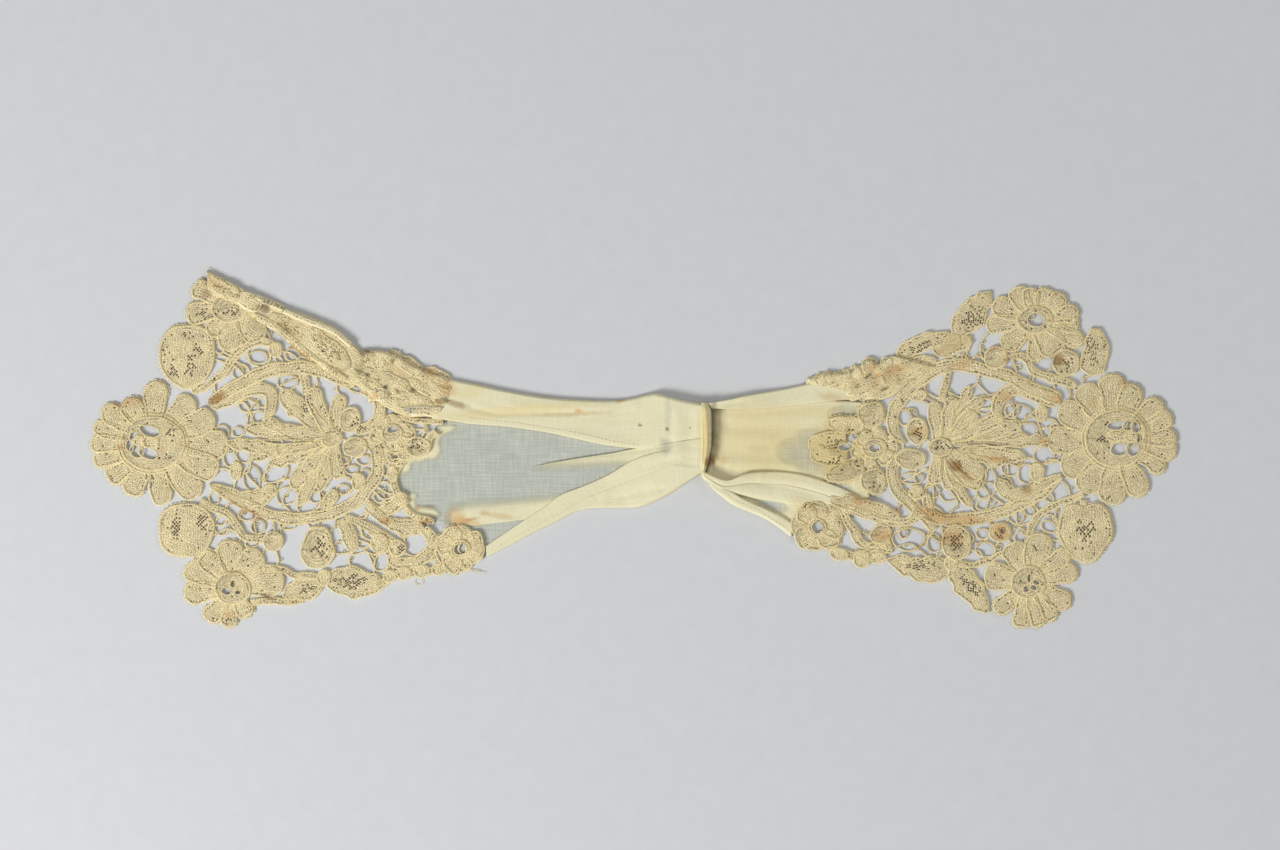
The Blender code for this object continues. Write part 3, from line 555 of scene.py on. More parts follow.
def lawn_cloth(name, cream, light, sheer, sheer_dark, opacity):
    material, tree, shader, thread, (across, along, layers) = new_fabric(name, 0.8, 0.1)
    warp = ripple(tree, across, LAWN_PITCH)
    weft = ripple(tree, along, LAWN_PITCH)
    weave = add(tree, "Math", {0: warp, 1: weft}, operation="ADD").outputs[0]
    weave = add(tree, "Math", {0: weave, 1: 0.5}, operation="MULTIPLY").outputs[0]
    slubs = []
    for stretch in ((1.8, 0.12, 0.0), (0.12, 1.8, 0.0)):
        drawn = add(tree, "VectorMath", {0: thread, 1: stretch}, operation="MULTIPLY").outputs[0]
        slub = add(tree, "TexNoise", {"Vector": drawn, "Scale": 1.0, "Detail": 2.0}).outputs["Fac"]
        slubs.append(add(tree, "MapRange", {0: slub, 1: 0.40, 2: 0.68}).outputs[0])
    slub = add(tree, "Math", {0: slubs[0], 1: slubs[1]}, operation="ADD").outputs[0]
    slub = add(tree, "Math", {0: slub, 1: 0.5}, operation="MULTIPLY").outputs[0]
    lit = add(tree, "Math", {0: weave, 1: 0.35, 2: slub}, operation="MULTIPLY_ADD").outputs[0]
    lit = add(tree, "Math", {0: lit, 1: 0.7}, operation="MULTIPLY").outputs[0]
    thick = add(tree, "Mix", {0: lit, 6: linear(cream), 7: linear(light)}, **COLOURS).outputs[2]
    thin = add(tree, "Mix", {0: lit, 6: linear(sheer_dark), 7: linear(sheer)}, **COLOURS).outputs[2]
    colour = add(tree, "Mix", {0: layers, 6: thin, 7: thick}, **COLOURS).outputs[2]
    # A third number past one paints a line of shade along a crisp folded edge
    edge_shade = add(tree, "MapRange", {0: layers, 1: 1.05, 2: 2.0, 3: 0.0, 4: 0.6}).outputs[0]
    colour = add(tree, "Mix", {0: edge_shade, 6: colour, 7: linear(EDGE_SHADE)}, **COLOURS).outputs[2]
    tree.links.new(aged_and_shaded(tree, colour), shader.inputs["Base Color"])
    relief = add(tree, "Bump", {"Height": lit, "Distance": 0.06 * MM, "Strength": 1.0})
    tree.links.new(relief.outputs[0], shader.inputs["Normal"])
    if opacity == 0:
        tree.links.new(layers, shader.inputs["Alpha"])
    elif opacity < 1:
        open_weave = add(tree, "MapRange", {0: lit, 1: 0.1, 2: 0.9, 3: opacity - 0.10, 4: opacity + 0.08})
        solid = add(tree, "Math", {0: open_weave.outputs[0], 1: layers}, operation="MAXIMUM").outputs[0]
        tree.links.new(solid, shader.inputs["Alpha"])
    return material


SHEER_LAWN = lawn_cloth("sheer linen lawn", "#E6DDB2", "#F2ECC8", "#DBDDCE", "#C6CABD", 0.85)
FOLDED_LAWN = lawn_cloth("folded linen lawn", "#E6DEB4", "#F3EDCA", "#DFE1D4", "#BCC1B9", 1)
FADING_LAWN = lawn_cloth("softly folded linen lawn", "#E6DEB4", "#F3EDCA", "#E4E3CE", "#D2D2BC", 0)
print("lawn materials made")

# %% [markdown]
# The lace was worked motif by motif. These tables list each end's flowers, petals, discs, leaves and bars. They
# lie where the frame's solids have them, but for a few leaves and lower petals with a truer form here.

# %% Lace tables
# Flower hearts
HEARTS_LEFT = """
flower x y wide high
tip 153 443.5 20.8 17.4
low 233 588 11.8 10.4
high 230 308 11.4 9.4
head 392 433 7.0 6.0
foot 460 549 6.6 6.0
"""
HEARTS_RIGHT = """
flower x y wide high
tip 1116 438.5 19.8 18.4
low 1028 582 10.8 10.7
high 1035 320 11.4 8.8
head 874 448 8.0 6.4
foot 817.5 527 6.0 6.0
"""

# Petals run out from their flower's heart to these ends
PETALS_LEFT = """
flower x y wide
tip 228 445 7.8
tip 214 416 7.0
tip 191 397 6.3
tip 157 382 6.3
tip 128 400 6.6
tip 104 409 5.4
tip 95 426 4.8
tip 92 444 4.8
tip 95 462 4.8
tip 109 480 5.2
tip 130 494 5.8
tip 163 505 6.3
tip 197 497 6.4
tip 217 472 7.2
low 229 541 6.6
low 259 552 6.8
low 283 580 7.6
low 248 616 5.0
low 228 626 4.6
low 208 619 5.0
low 185 595 5.8
low 187 567 6.2
low 202 554 5.2
high 194 286 5.0
high 187 314 6.2
high 211 336 5.6
high 231 350 7.2
high 262 339 6.6
head 371 434 5.6
head 379 419 5.4
head 397 416 5.6
head 414 429 5.4
head 410 444 5.4
head 391 451 5.8
foot 437 543 6.0
foot 446 530 6.0
foot 466 527 6.2
foot 482 540 6.4
foot 483 556 6.4
foot 468 570 6.2
foot 447 569 6.2
foot 436 556 5.6
"""
PETALS_RIGHT = """
flower x y wide
tip 1048 440 7.8
tip 1059 409 7.2
tip 1081 386 7.2
tip 1110 375 6.6
tip 1134 386 6.6
tip 1161 402 6.0
tip 1171 417 4.8
tip 1175 437 4.8
tip 1175 453 4.8
tip 1163 470 5.0
tip 1141 495 6.4
tip 1110 503 7.2
tip 1083 492 7.2
tip 1063 472 7.2
low 1041 534 6.8
low 1011 543 7.0
low 985 575 7.8
low 996 611 5.2
low 1019 627 4.3
low 1038 627 4.1
low 1054 619 4.0
low 1069 604 5.6
low 1076 571 5.2
low 1067 552 4.8
high 993 304 6.0
high 987 325 5.4
high 1003 348 5.6
high 1035 361 4.4
high 1057 353 7.6
high 1082 342 4.8
high 1078 327 4.4
high 1077 312 4.8
high 1063 295 4.6
high 1048 289 5.2
high 1029 288 4.8
high 1014 288 5.2
head 851 448 5.8
head 860 434 5.8
head 883 431 5.8
head 898 445 5.8
head 890 462 5.8
head 866 465 5.8
foot 791 527 6.4
foot 800 508 6.4
foot 819 503 6.4
foot 838 511 6.4
foot 843 528 6.4
foot 832 547 6.4
foot 810 550 6.4
foot 796 541 6.2
"""
# Round leaves, buttons and squares
DISCS_LEFT = """
x y wide high turn
187 355 17.6 20.2 0
187 530 17.8 16.8 0
276 350 4.6 5.2 0
332 438 6.4 6.2 0
350 420 6.8 8.2 -15
355 447 8.2 6.4 10
359 482 4.8 5.8 0
236 471 3.8 6.0 0
273 541 6.6 6.6 0
318 548 10.8 12.8 0
324 578 4.6 5.4 0
380 543 5.8 6.0 0
398 548 5.6 5.6 0
418 447 8.2 6.8 0
405 455 4.6 3.8 0
393 474 3.6 5.4 0
401 498 4.0 3.8 0
390 576 4.6 4.2 0
404 573 4.8 4.6 0
422 571 5.4 4.8 0
439 569 5.0 4.4 0
"""
DISCS_RIGHT = """
x y wide high turn
1085 531 17.2 18.4 0
1066 363 8.8 9.0 0
996 358 7.6 7.2 0
940 447 7.6 6.2 0
917 431 6.8 8.8 15
911 459 9.6 6.8 -10
916 492 5.0 5.0 0
918 396 5.8 3.4 10
956 543 9.8 11.0 0
951 563 4.6 4.8 0
1000 532 7.4 6.0 0
881 534 7.2 6.6 0
862 559 5.6 5.8 0
839 554 6.0 4.4 -10
879 558 5.4 3.6 10
1037 472 4.2 6.0 0
1041 413 4.2 5.6 0
846 424 12.0 5.4 -6
871 415 8.2 8.2 0
845 472 12.4 6.6 8
873 481 8.2 8.0 0
"""

# Leaves and scrolls: outline, greatest width, then the middle line from root to tip
LEAVES_LEFT = """
stem 2.2 195,380 195,393
scroll 2.8 194,394 209,384 222,374 232,359 245,347 260,341 274,344
scroll 4.2 356,387 340,379 321,371 303,368 284,368 265,372 246,381 228,391 209,403
stem 3.8 361,389 374,395 380,406 377,419 366,428 356,430
scroll 4.0 210,484 228,496 251,507 270,514 291,518 312,517 335,512 355,502 368,489 377,474 378,458 373,446 362,440
scroll 4.4 265,418 271,406 271,394 259,388 245,391 228,400 211,405
leaf 4.6 211,485 228,493 245,499 260,498 276,487
leaf 4.2 331,436 290,432 245,429
petal 3.4 284,431 263,419
leaf 3.8 331,441 285,450 255,447 227,442
petal 3.2 278,450 251,458
leaf 3.8 331,442 296,455 268,464
leaf 4.8 331,442 308,467 291,488
leaf 3.8 332,443 314,477 299,505
leaf 3.6 333,444 325,472 321,491
petal 4.2 334,446 338,479
leaf 5.6 331,436 304,413 281,391
petal 3.0 302,412 287,411
petal 4.6 330,432 318,408 312,388
petal 4.2 333,432 341,395
stem 3.2 303,372 307,393
petal 3.2 325,510 335,490
petal 4.0 379,513 406,499
stem 3.4 366,505 380,516 392,524
leaf 4.8 388,522 402,526 424,529
stem 3.6 424,529 436,541
scroll 3.8 434,539 429,553 416,561 401,563 388,558
stem 3.0 397,547 388,556
scroll 2.6 345,515 362,524 380,533 398,544
petal 4.0 342,518 348,532 354,551
blade 9.8 325,579 350,582 385,585
blade 7.4 324,581 306,588 283,595
stem 3.0 383,584 392,577 410,573 440,570
stem 2.8 200,501 213,508 229,515 238,528 245,537 264,539
stem 2.3 264,566 284,570 294,576 308,575 322,577
stem 2.4 250,603 269,600.5 286,601.5 303,600
petal 4.2 228,300 250,302
stem 2.6 437,431 429,438 425,450 411,455 401,464 394,478 398,494 407,504
stem 1.8 398,417 416,420 442,422
stem 1.6 425,421 427,432
stem 2.2 405,507 414,515 434,521
stem 3.0 384,448 390,462 404,462
"""
LEAVES_RIGHT = """
leaf 7.4 1095,328 1095,352 1091,375
blade 9.2 954,337 971,315 990,293
leaf 4.6 960,337 926,341 896,356
leaf 5.6 972,340 952,345 932,351
scroll 2.6 1006,357 1024,357 1034,371 1050,377 1076,386
scroll 4.2 905,444 895,434 892,420 897,405 908,391 922,379 940,368 962,365 987,371 1008,376 1027,386 1044,392
scroll 4.2 1008,376 1027,386 1044,393 1061,400
scroll 4.0 1063,477 1044,493 1020,505 995,514 970,519 951,520 933,517 915,507 901,495 894,482 893,468 901,455
scroll 4.4 998,418 998,402 1009,391 1022,390 1043,397 1060,402
leaf 4.4 1062,476 1044,485 1024,495 1008,492 997,478
petal 4.2 949,440 975,429 1003,417
leaf 4.6 974,438 1021,423
leaf 3.6 956,443 1010,441 1048,440
petal 4.4 950,438 975,412
petal 3.8 949,433 963,416 982,399
leaf 2.8 947,430 960,410 971,386
petal 4.2 944,438 953,397
petal 4.0 938,438 933,402
stem 2.4 940,402 949,369
stem 3.2 870,458 873,476
stem 3.0 862,458 848,464
leaf 3.8 956,450 985,452 1026,458
leaf 3.8 958,453 1006,462
petal 4.8 950,453 982,477
petal 4.0 946,457 961,474 983,488
leaf 2.8 945,459 955,483 971,507
petal 3.6 942,458 950,490
petal 3.8 937,456 934,484
petal 2.6 930,512 926,494
stem 3.0 841,506 852,529 864,545 892,549
blade 8.8 951,562 966,583 987,613
blade 8.8 951,566 928,570 888,560
stem 2.0 954,563 980,564 1003,553
stem 2.4 1084,494 1060,503 1041,513 1032,524 1029,536
stem 2.2 1083,500 1083,512
stem 3.0 884,541 868,549
stem 3.0 832,549 850,555 866,557 886,556
stem 2.8 908,503 921,516 934,530
stem 3.0 846,508 866,514 886,521 906,522 918,512
stem 2.2 886,536 890,549
petal 5.0 847,437 828,440 809,446
petal 5.2 847,458 828,456 811,451
leaf 4.6 830,499 856,505 900,516
"""
# Bars of the ground, from motif to motif
BARS_LEFT = """
212,352 224,347
231,349 240,354
234,360 244,372 252,378
214,383 219,396
233,366 246,380
248,350 262,372
266,350 270,370
281,352 292,352 300,358
277,357 282,366
268,342 274,330
236,397 243,408 252,417
262,396 255,412 246,426
270,396 281,389 298,378
289,395 281,392
316,375 312,388
340,382 341,395
344,408 341,398
340,432 345,427
341,440 346,443
324,424 318,418
365,485 373,482
354,488 345,492 338,490
341,478 352,482
340,466 352,456
218,469 229,470
236,480 238,494
250,458 246,470 240,473
268,463 262,475 268,487
228,444 222,456
246,476 254,488 262,498
296,480 282,484 274,490
292,487 286,500 290,512
299,502 300,513
321,489 318,503 312,513
306,470 300,480 294,486
222,512 236,500
240,524 250,510
258,537 256,522 262,513
273,532 271,518
282,534 292,522
290,519 304,526 312,530
318,528 318,520
330,531 337,516
207,512 214,509
212,525 226,520
212,536 228,533 240,533
208,548 222,541
240,541 250,536
262,551 268,548
276,550 280,560 276,568
300,557 310,560
336,546 346,541
335,553 344,556 352,551
352,550 350,566
356,548 372,545
382,551 378,562 372,570
388,546 394,547
356,520 368,512
362,524 360,538 370,542
405,530 404,544
414,531 418,520 424,510
428,543 438,545
430,560 440,562
396,560 394,572
414,562 415,570
382,562 384,574
384,460 394,464
380,474 398,476
378,486 386,495 398,492
377,452 390,450
366,500 378,504 384,510
404,434 410,440
416,428 424,432 420,440
430,437 428,446
412,456 408,448
"""
BARS_RIGHT = """
1068,404 1072,392 1066,378
1052,366 1048,377
1086,388 1088,378
1003,351 1010,357
1020,357 1020,345
985,352 978,346 982,338
984,360 970,366
990,368 990,372
1012,362 1020,370 1018,380
1036,374 1036,388
1054,380 1060,398
950,356 958,366
968,343 964,356 966,365
975,412 984,405 998,406
972,388 978,374
953,396 950,385
982,398 996,392
1003,417 1010,408 1008,394
1021,423 1028,412 1040,410
1040,405 1046,397
1044,417 1058,426
1028,412 1034,424 1040,440
1048,432 1054,424
1003,419 998,414
934,402 928,398
908,396 902,400
924,394 930,386
917,418 914,408 898,408
926,440 932,443
921,444 914,452
899,440 904,450
928,452 934,450
936,484 926,490
909,492 903,492
934,483 938,500 934,514
950,490 954,503 948,514
934,470 922,464 906,480
916,466 918,486
971,506 978,516
983,487 992,496 985,510
981,477 990,470 998,479
1006,461 1004,472 998,480
1005,461 1018,468 1024,458
1026,458 1036,464
1037,480 1030,490
1040,466 1056,464
1048,442 1056,452 1052,460 1040,466
1012,486 1004,474
975,462 983,486
1006,512 1004,522
1014,508 1020,522 1030,524
1034,500 1040,512
1050,492 1052,505
1062,482 1070,492
1058,503 1060,516 1052,532
1030,536 1036,540
1046,520 1060,524
1040,545 1046,556
1066,552 1072,552
1070,556 1078,556
1008,532 1018,530 1028,534
1000,541 996,556
990,535 972,540
968,550 984,560
990,526 986,516
966,528 968,520
946,530 940,520
990,566 990,580
940,543 934,534 930,522
938,552 926,556
896,548 910,550 924,548
924,548 932,530 922,518
893,548 894,526
857,536 850,542
873,532 862,528
866,545 862,556
850,550 846,558
888,497 898,488
888,480 892,474
890,500 896,510
862,470 858,474
858,452 852,450
858,436 856,428
866,430 868,420
884,420 890,418
886,404 896,404
853,466 850,470
838,462 836,468
836,436 840,430
898,452 902,456
870,468 872,476
"""
# Where the lawn ends beneath the lace heading, and the rest of each half's outline
LAWN_LEFT = """
456,383 502,391 542,398 583,401 620,401 649,395 657,394.5 682,401 697,404.5
697,471.5 694,475 684,484 670,493 652,502 636,506.5 600,507 578,510 535,531 503,548 487,556
472,548 454,531 443,525 432,521 422,512 408,501 394,492 393,478 403,459 429,453 432,439 446,428 450,412
"""
LAWN_RIGHT = """
709.5,403.5 713,402.5 742,397 768,392.5 798,387 807,386 836,400 866,403
865,414 842,421 841,432 818,448 840,462 834,470 866,480 870,497 850,508 826,507 806,511 794,522 790,535
777,525 762,517 748,510.5 733,504 723,497 711,484 702.5,475.5 706.5,474 709.5,463 712.5,446 713,428 712.5,410
"""

# %% [markdown]
# A motif was woven between two edges, so it is made as a small grid: columns run along the passive threads and
# rows run with the weaver. Where the motif narrows, its columns draw together, as the threads do. Every second
# column stands a little higher, which gives the ribs of the cloth stitch in the mesh itself.

# %% Grids for petals, leaves and discs
CELL_ACROSS = 0.475 * MM
CELL_ALONG = 0.55 * MM
OUTLINE_RADIUS = 0.26 * MM
# Share of a motif's length, share of its width
PROFILES = {
    "petal": ((0, 0.66), (0.30, 0.88), (0.65, 1.0), (1, 0.96)),
    "leaf": ((0, 0.32), (0.25, 0.80), (0.60, 1.0), (0.88, 0.84), (1, 0.40)),
    "blade": ((0, 0.34), (0.25, 0.84), (0.55, 1.0), (0.85, 0.70), (1, 0.16)),
    "scroll": ((0, 0.20), (0.10, 0.78), (0.30, 1.0), (0.90, 1.0), (1, 0.85)),
    "stem": ((0, 0.90), (0.50, 1.0), (1, 0.90)),
}
# How round each motif's tip is, as a share of its half width, and how far its edges wave, in metres
ROUND_TIPS = {"petal": 1.0, "leaf": 0.5, "blade": 0, "scroll": 0.9, "stem": 0}
WAVES = {"petal": 0.4 * MM, "leaf": 0.9 * MM, "blade": 1.0 * MM, "scroll": 0.3 * MM, "stem": 0.2 * MM}
BLUNTNESS = 2.4


def blade(points, wide, shape):
    """A petal, leaf, scroll or stem: rows of (flat point, thread) pairs, and its outline."""
    samples = 4 * len(points)
    length = length_of([spline(points, i / samples) for i in range(samples + 1)])
    count = max(6, round(length / CELL_ALONG))
    cells = max(2, round(wide / 2 / CELL_ACROSS))
    tip = ROUND_TIPS[shape] * wide / 2
    rows, left, right = [], [], []
    for i in range(count + 1):
        share = i / count
        here = spline(points, share)
        run = (spline(points, min(share + 0.01, 1)) - spline(points, max(share - 0.01, 0))).normalized()
        side = Vector((-run.y, run.x))
        to_tip = (1 - share) * length
        half = wide / 2 * between(PROFILES[shape], share)
        if to_tip < tip:
            half *= max(0.03, 1 - (1 - to_tip / tip) ** BLUNTNESS) ** (1 / BLUNTNESS)
        waves = [noise.noise(Vector((*here, z)) * 420) * WAVES[shape] / (wide / 2) for z in (-0.02, 0.02)]
        near, far = (half * (1 + wave) for wave in waves)
        row = []
        for j in range(-cells, cells + 1):
            off = (far if j > 0 else near) * j / cells
            rim = (far if j > 0 else near) - abs(off)
            if tip:
                rim = min(rim, to_tip)
            row.append((here + side * off, (j * CELL_ACROSS / MM, share * length / MM, rim / MM)))
        rows.append(row)
        left.append(here + side * max(far - OUTLINE_RADIUS, 0.05 * MM))
        right.append(here - side * max(near - OUTLINE_RADIUS, 0.05 * MM))
    return rows, right + left[::-1]


# The large round leaves aren't true ovals: notches and corners in them, by the leaf's middle
SHAPED_LEAVES = table("""
x y angle spread reach
1085 531 92 15 -0.20
1085 531 128 26 0.07
1085 531 52 26 0.07
1085 531 -86 24 0.10
1085 531 -140 26 -0.04
1085 531 -36 26 -0.04
187 355 95 16 -0.05
187 355 38 20 0.08
187 355 -80 20 0.05
187 355 -130 30 0.03
187 530 140 22 0.07
187 530 40 26 0.03
187 530 -130 22 0.06
187 530 -62 16 0.08
187 530 -20 20 -0.03
318 548 60 20 0.10
318 548 112 20 0.08
318 548 150 14 -0.08
318 548 190 16 0.10
318 548 20 14 -0.06
318 548 -22 16 0.07
318 548 -60 18 0.05
318 548 -125 18 0.08
956 543 95 22 0.10
956 543 20 22 -0.05
846 424 90 14 -0.12
846 424 150 16 0.06
846 424 -70 14 -0.10
846 424 40 14 0.08
871 415 100 16 -0.08
871 415 45 18 0.08
871 415 170 18 0.06
845 472 100 14 -0.10
845 472 -100 14 -0.12
845 472 -150 16 0.06
845 472 -50 16 0.08
873 481 -60 18 0.10
873 481 -110 14 -0.08
""")


def bulge(row, angle):
    """How far a leaf's edge stands out at an angle, against its oval."""
    reach = 1.0
    for shape in SHAPED_LEAVES:
        if (shape["x"], shape["y"]) == (row["x"], row["y"]):
            off = (math.degrees(angle) - shape["angle"] + 180) % 360 - 180
            reach += shape["reach"] * math.exp(-(off / shape["spread"]) ** 2)
    return reach


def oval(row, inset=0.0, count=28):
    """A closed loop round a row's ellipse, inset by a distance."""
    middle = place(row["x"], row["y"])
    turn = Matrix.Rotation(math.radians(row.get("turn", 0)), 2)
    loop = []
    for index in range(count + 1):
        angle = math.tau * (index % count) / count
        out = bulge(row, angle)
        x = (row["wide"] / 2 * MM * out - inset) * math.cos(angle)
        y = (row["high"] / 2 * MM * out - inset) * math.sin(angle)
        loop.append(middle + turn @ Vector((x, y)))
    return loop


def disc(row, coiled):
    """A round leaf or button: a square grid pressed to the round, woven straight or coiled."""
    middle = place(row["x"], row["y"])
    turn = Matrix.Rotation(math.radians(row.get("turn", 0)), 2)
    wide, high = row["wide"] / 2 * MM, row["high"] / 2 * MM
    cells_across = max(3, round(0.9 * wide / CELL_ACROSS))
    cells_along = max(3, round(0.9 * high / CELL_ALONG))
    rows = []
    for i in range(-cells_along, cells_along + 1):
        v = i / cells_along
        made = []
        for j in range(-cells_across, cells_across + 1):
            u = j / cells_across
            x = u * math.sqrt(1 - v * v / 2)
            y = v * math.sqrt(1 - u * u / 2)
            out = math.hypot(x, y)
            rim = (1 - out) * min(wide, high) / MM
            thread = (j * CELL_ACROSS / MM, y * high / MM, rim)
            if coiled:
                thread = (out * wide / MM, math.atan2(y, x) * out * wide / MM, rim)
            swell = 1 + (bulge(row, math.atan2(y, x)) - 1) * out
            made.append((middle + turn @ Vector((x * wide, y * high)) * swell, thread))
        rows.append(made)
    loop = oval(row, OUTLINE_RADIUS, max(16, round(math.tau * (wide + high) / 2 / CELL_ALONG)))
    return rows, loop


print("profiles", ", ".join(PROFILES))

# %% [markdown]
# The heading of each lace end is sewn over the lawn, so its cloth climbs one layer there on a short slope. The
# same distances as in the solids are used, and the rise eases in and out.

# %% The rise over the lawn
CLOTH = 1.0 * MM
SECOND_LAYER = 0.95 * MM
LAP_CLEAR = 0.5 * MM
LAP_RAMP = 4.0 * MM
print("the heading climbs", SECOND_LAYER / MM, "mm within", LAP_RAMP / MM, "mm")


def area_of(loop):
    return sum(a.x * b.y - b.x * a.y for a, b in zip(loop, loop[1:] + loop[:1])) / 2


def distance_to(loop, point):
    """How far a point lies outside a loop, negative inside."""
    nearest, inside = math.inf, False
    for a, b in zip(loop, loop[1:] + loop[:1]):
        run = b - a
        off = point - a
        along = max(0, min(1, off.dot(run) / run.length_squared))
        nearest = min(nearest, (off - run * along).length_squared)
        if (a.y > point.y) != (b.y > point.y) and point.x < a.x + off.y * run.x / run.y:
            inside = not inside
    return -math.sqrt(nearest) if inside else math.sqrt(nearest)


def eased(share):
    share = max(0, min(1, share))
    return share * share * (3 - 2 * share)


def swayed(flat):
    """A flat point as it lies in handmade lace: nothing is quite straight, round or evenly spaced."""
    wide_sway = noise.noise_vector(Vector((flat.x, flat.y, 0.01)) * 230) * 0.42 * MM
    near_sway = noise.noise_vector(Vector((flat.x, flat.y, 0.03)) * 640) * 0.16 * MM
    return Vector((flat.x, flat.y)) + (wide_sway + near_sway).xy


# %% [markdown]
# One class holds a lace end while it is worked. Each motif is laid as cloth with an outline thread round it, and
# petals lie over one another in turn. Cells are left out where an opening is, and here and there in the looser
# half stitch, so those holes are real. Outer petals have pin loops on their edge.

# %% Working a lace end
TOP_OF_CLOTH = 0.55 * MM
CROWN = 0.14 * MM
RIB = 0.035 * MM
UNEVEN = 0.12 * MM
THREAD_REST = 0.02 * MM
PICOT_PITCH = 1.3 * MM
PICOT_OUT = 0.55 * MM
CORD_HEIGHT = 0.42 * MM
CORD_RADIUS = 0.28 * MM


class LaceEnd:
    """One lace end: its cloth stitch, its outline threads and its ground of bars."""

    def __init__(self, side, lawn, openings, half_stitch):
        self.cloth, self.outlines, self.ground = Cloth(), Cloth(), Cloth()
        self.feet = []
        self.lawn = places(lawn.split())
        self.nearest = min(p.x for p in self.lawn) - LAP_RAMP, max(p.x for p in self.lawn) + LAP_RAMP
        self.openings = spots(openings)
        self.half_stitch = spots(half_stitch)
        self.dice = random.Random(side)
        self.edges = []

    def foot(self, point):
        """The height that the lace rests on: the table, or the lawn under the heading."""
        if not self.nearest[0] < point.x < self.nearest[1]:
            return 0
        out = distance_to(self.lawn, point.xy)
        return SECOND_LAYER * eased((LAP_RAMP - out) / (LAP_RAMP - LAP_CLEAR))

    def left_out(self, i, j, corner, far_corner):
        """Whether a cell is open: in an opening, or one of the holes of half stitch."""
        middle = (corner + far_corner).xy / 2
        if any(inside(spot, middle) for spot in self.openings):
            return True
        if (i + j) % 2:
            return False
        loose = max((cover(spot, middle) for spot in self.half_stitch), default=0)
        return self.dice.random() < 0.02 + 0.68 * loose

    def work(self, rows, outline, lift, crown=CROWN, whole=False):
        """Lays one motif's cloth and its outline thread."""
        lean = self.dice.uniform(-0.05, 0.05) * MM
        laid = []
        for i, row in enumerate(rows):
            laid_row = []
            for j, (flat, thread) in enumerate(row):
                across = 2 * j / (len(row) - 1) - 1
                foot = self.foot(flat)
                wave = noise.noise(Vector((flat.x, flat.y, lift)) * 260) * 0.10 * MM
                flat = swayed(flat)
                if 0 < j < len(row) - 1:
                    shift = noise.noise_vector(Vector((flat.x, flat.y, lift)) * 1700) * UNEVEN
                    flat = flat + shift.xy
                rise = crown * (1 - across * across)
                z = foot + TOP_OF_CLOTH + lift + rise + RIB * (j % 2) + wave + lean * across
                laid_row.append((Vector((flat.x, flat.y, z)), thread))
                self.feet.append(foot + THREAD_REST)
            laid.append(laid_row)
        self.cloth.grid(laid, None if whole else self.left_out)
        self.edges += [tuple(p) for p in outline]
        self.outline(outline, lift)

    def outline(self, flat_path, lift, radius=OUTLINE_RADIUS):
        """An outline thread over a flat path."""
        path = []
        for flat in flat_path:
            z = self.foot(flat) + TOP_OF_CLOTH + lift + 0.12 * MM
            path.append(swayed(flat).to_3d() + Vector((0, 0, z)))
        self.outlines.tube(path, radius)

    def pin_loops(self, flat_path, lift):
        """Small loops outside a stretch of outline, where the weaver turned round its pins."""
        length = length_of(flat_path)
        count = max(2, round(length / PICOT_PITCH))
        path = []
        for step in range(4 * count + 1):
            share = step / (4 * count)
            here = spline(flat_path, share)
            run = spline(flat_path, min(share + 0.02, 1)) - spline(flat_path, max(share - 0.02, 0))
            out = Vector((run.y, -run.x)).normalized()
            reach = (0, 0.8, 1.0, 0.8)[step % 4] * PICOT_OUT + 0.10 * MM
            z = self.foot(here) + TOP_OF_CLOTH + lift - 0.12 * MM
            path.append(swayed(here + out * reach).to_3d() + Vector((0, 0, z)))
        self.outlines.tube(path, 0.16 * MM, 4)

    def tied(self, point, reach=5 * MM):
        """The nearest motif edge or earlier bar to a bar's end, where one is in reach."""
        off = np.hypot(*(np.array(self.edges) - np.array(point)).T)
        nearest = int(off.argmin())
        return Vector(self.edges[nearest]) if off[nearest] < reach else point

    def cord(self, flat_path, radius):
        """A twisted cord of the ground over a flat path."""
        path = []
        for step, flat in enumerate(flat_path):
            z = self.foot(flat) + CORD_HEIGHT + 0.10 * MM * math.sin(step * 0.9)
            path.append(swayed(flat).to_3d() + Vector((0, 0, z)))
        self.ground.tube(path, radius, 6)

    def bar(self, points, radius=0.31 * MM, picots=True):
        """A bar of the ground: a twisted cord that bows to one side, with a pin loop or two on its way."""
        start, end = self.tied(points[0]), self.tied(points[-1])
        run = end - start
        bow = Vector((-run.y, run.x)) * self.dice.choice((-1, 1)) * self.dice.uniform(0.12, 0.28)
        if len(points) == 2:
            points = [start, start.lerp(end, 0.5) + bow, end]
        else:
            points = [start] + [point + bow * 0.7 for point in points[1:-1]] + [end]
        samples = [spline(points, i / 12) for i in range(13)]
        self.edges += [tuple(p) for p in samples[3:-3]]
        length = length_of(samples)
        count = max(6, round(length / (0.5 * MM)))
        self.cord([spline(points, i / count) for i in range(count + 1)], radius)
        if picots and length > 3.2 * MM:
            for share in ((0.5,) if length < 6 * MM else (0.32, 0.68)):
                here = spline(points, share)
                run = (spline(points, share + 0.02) - spline(points, share - 0.02)).normalized()
                way = self.dice.choice((-1, 1))
                self.small_ring(here + Vector((-run.y, run.x)) * way * 0.5 * MM, 0.42 * MM, 0.15 * MM)

    def small_ring(self, middle, reach, radius):
        path = []
        for step in range(10):
            angle = math.tau * step / 9
            flat = swayed(middle + Vector((math.cos(angle), math.sin(angle))) * reach)
            path.append(flat.to_3d() + Vector((0, 0, self.foot(middle) + CORD_HEIGHT)))
        self.ground.tube(path, radius, 4)


def inside(spot, point):
    """Whether a flat point lies in a spot's ellipse."""
    middle, turn, wide, high, _ = spot
    off = turn @ Vector((point[0] - middle.x, point[1] - middle.y))
    return math.hypot(off.x / wide, off.y / high) < 1


print("an outline thread is", 2 * OUTLINE_RADIUS / MM, "mm thick")

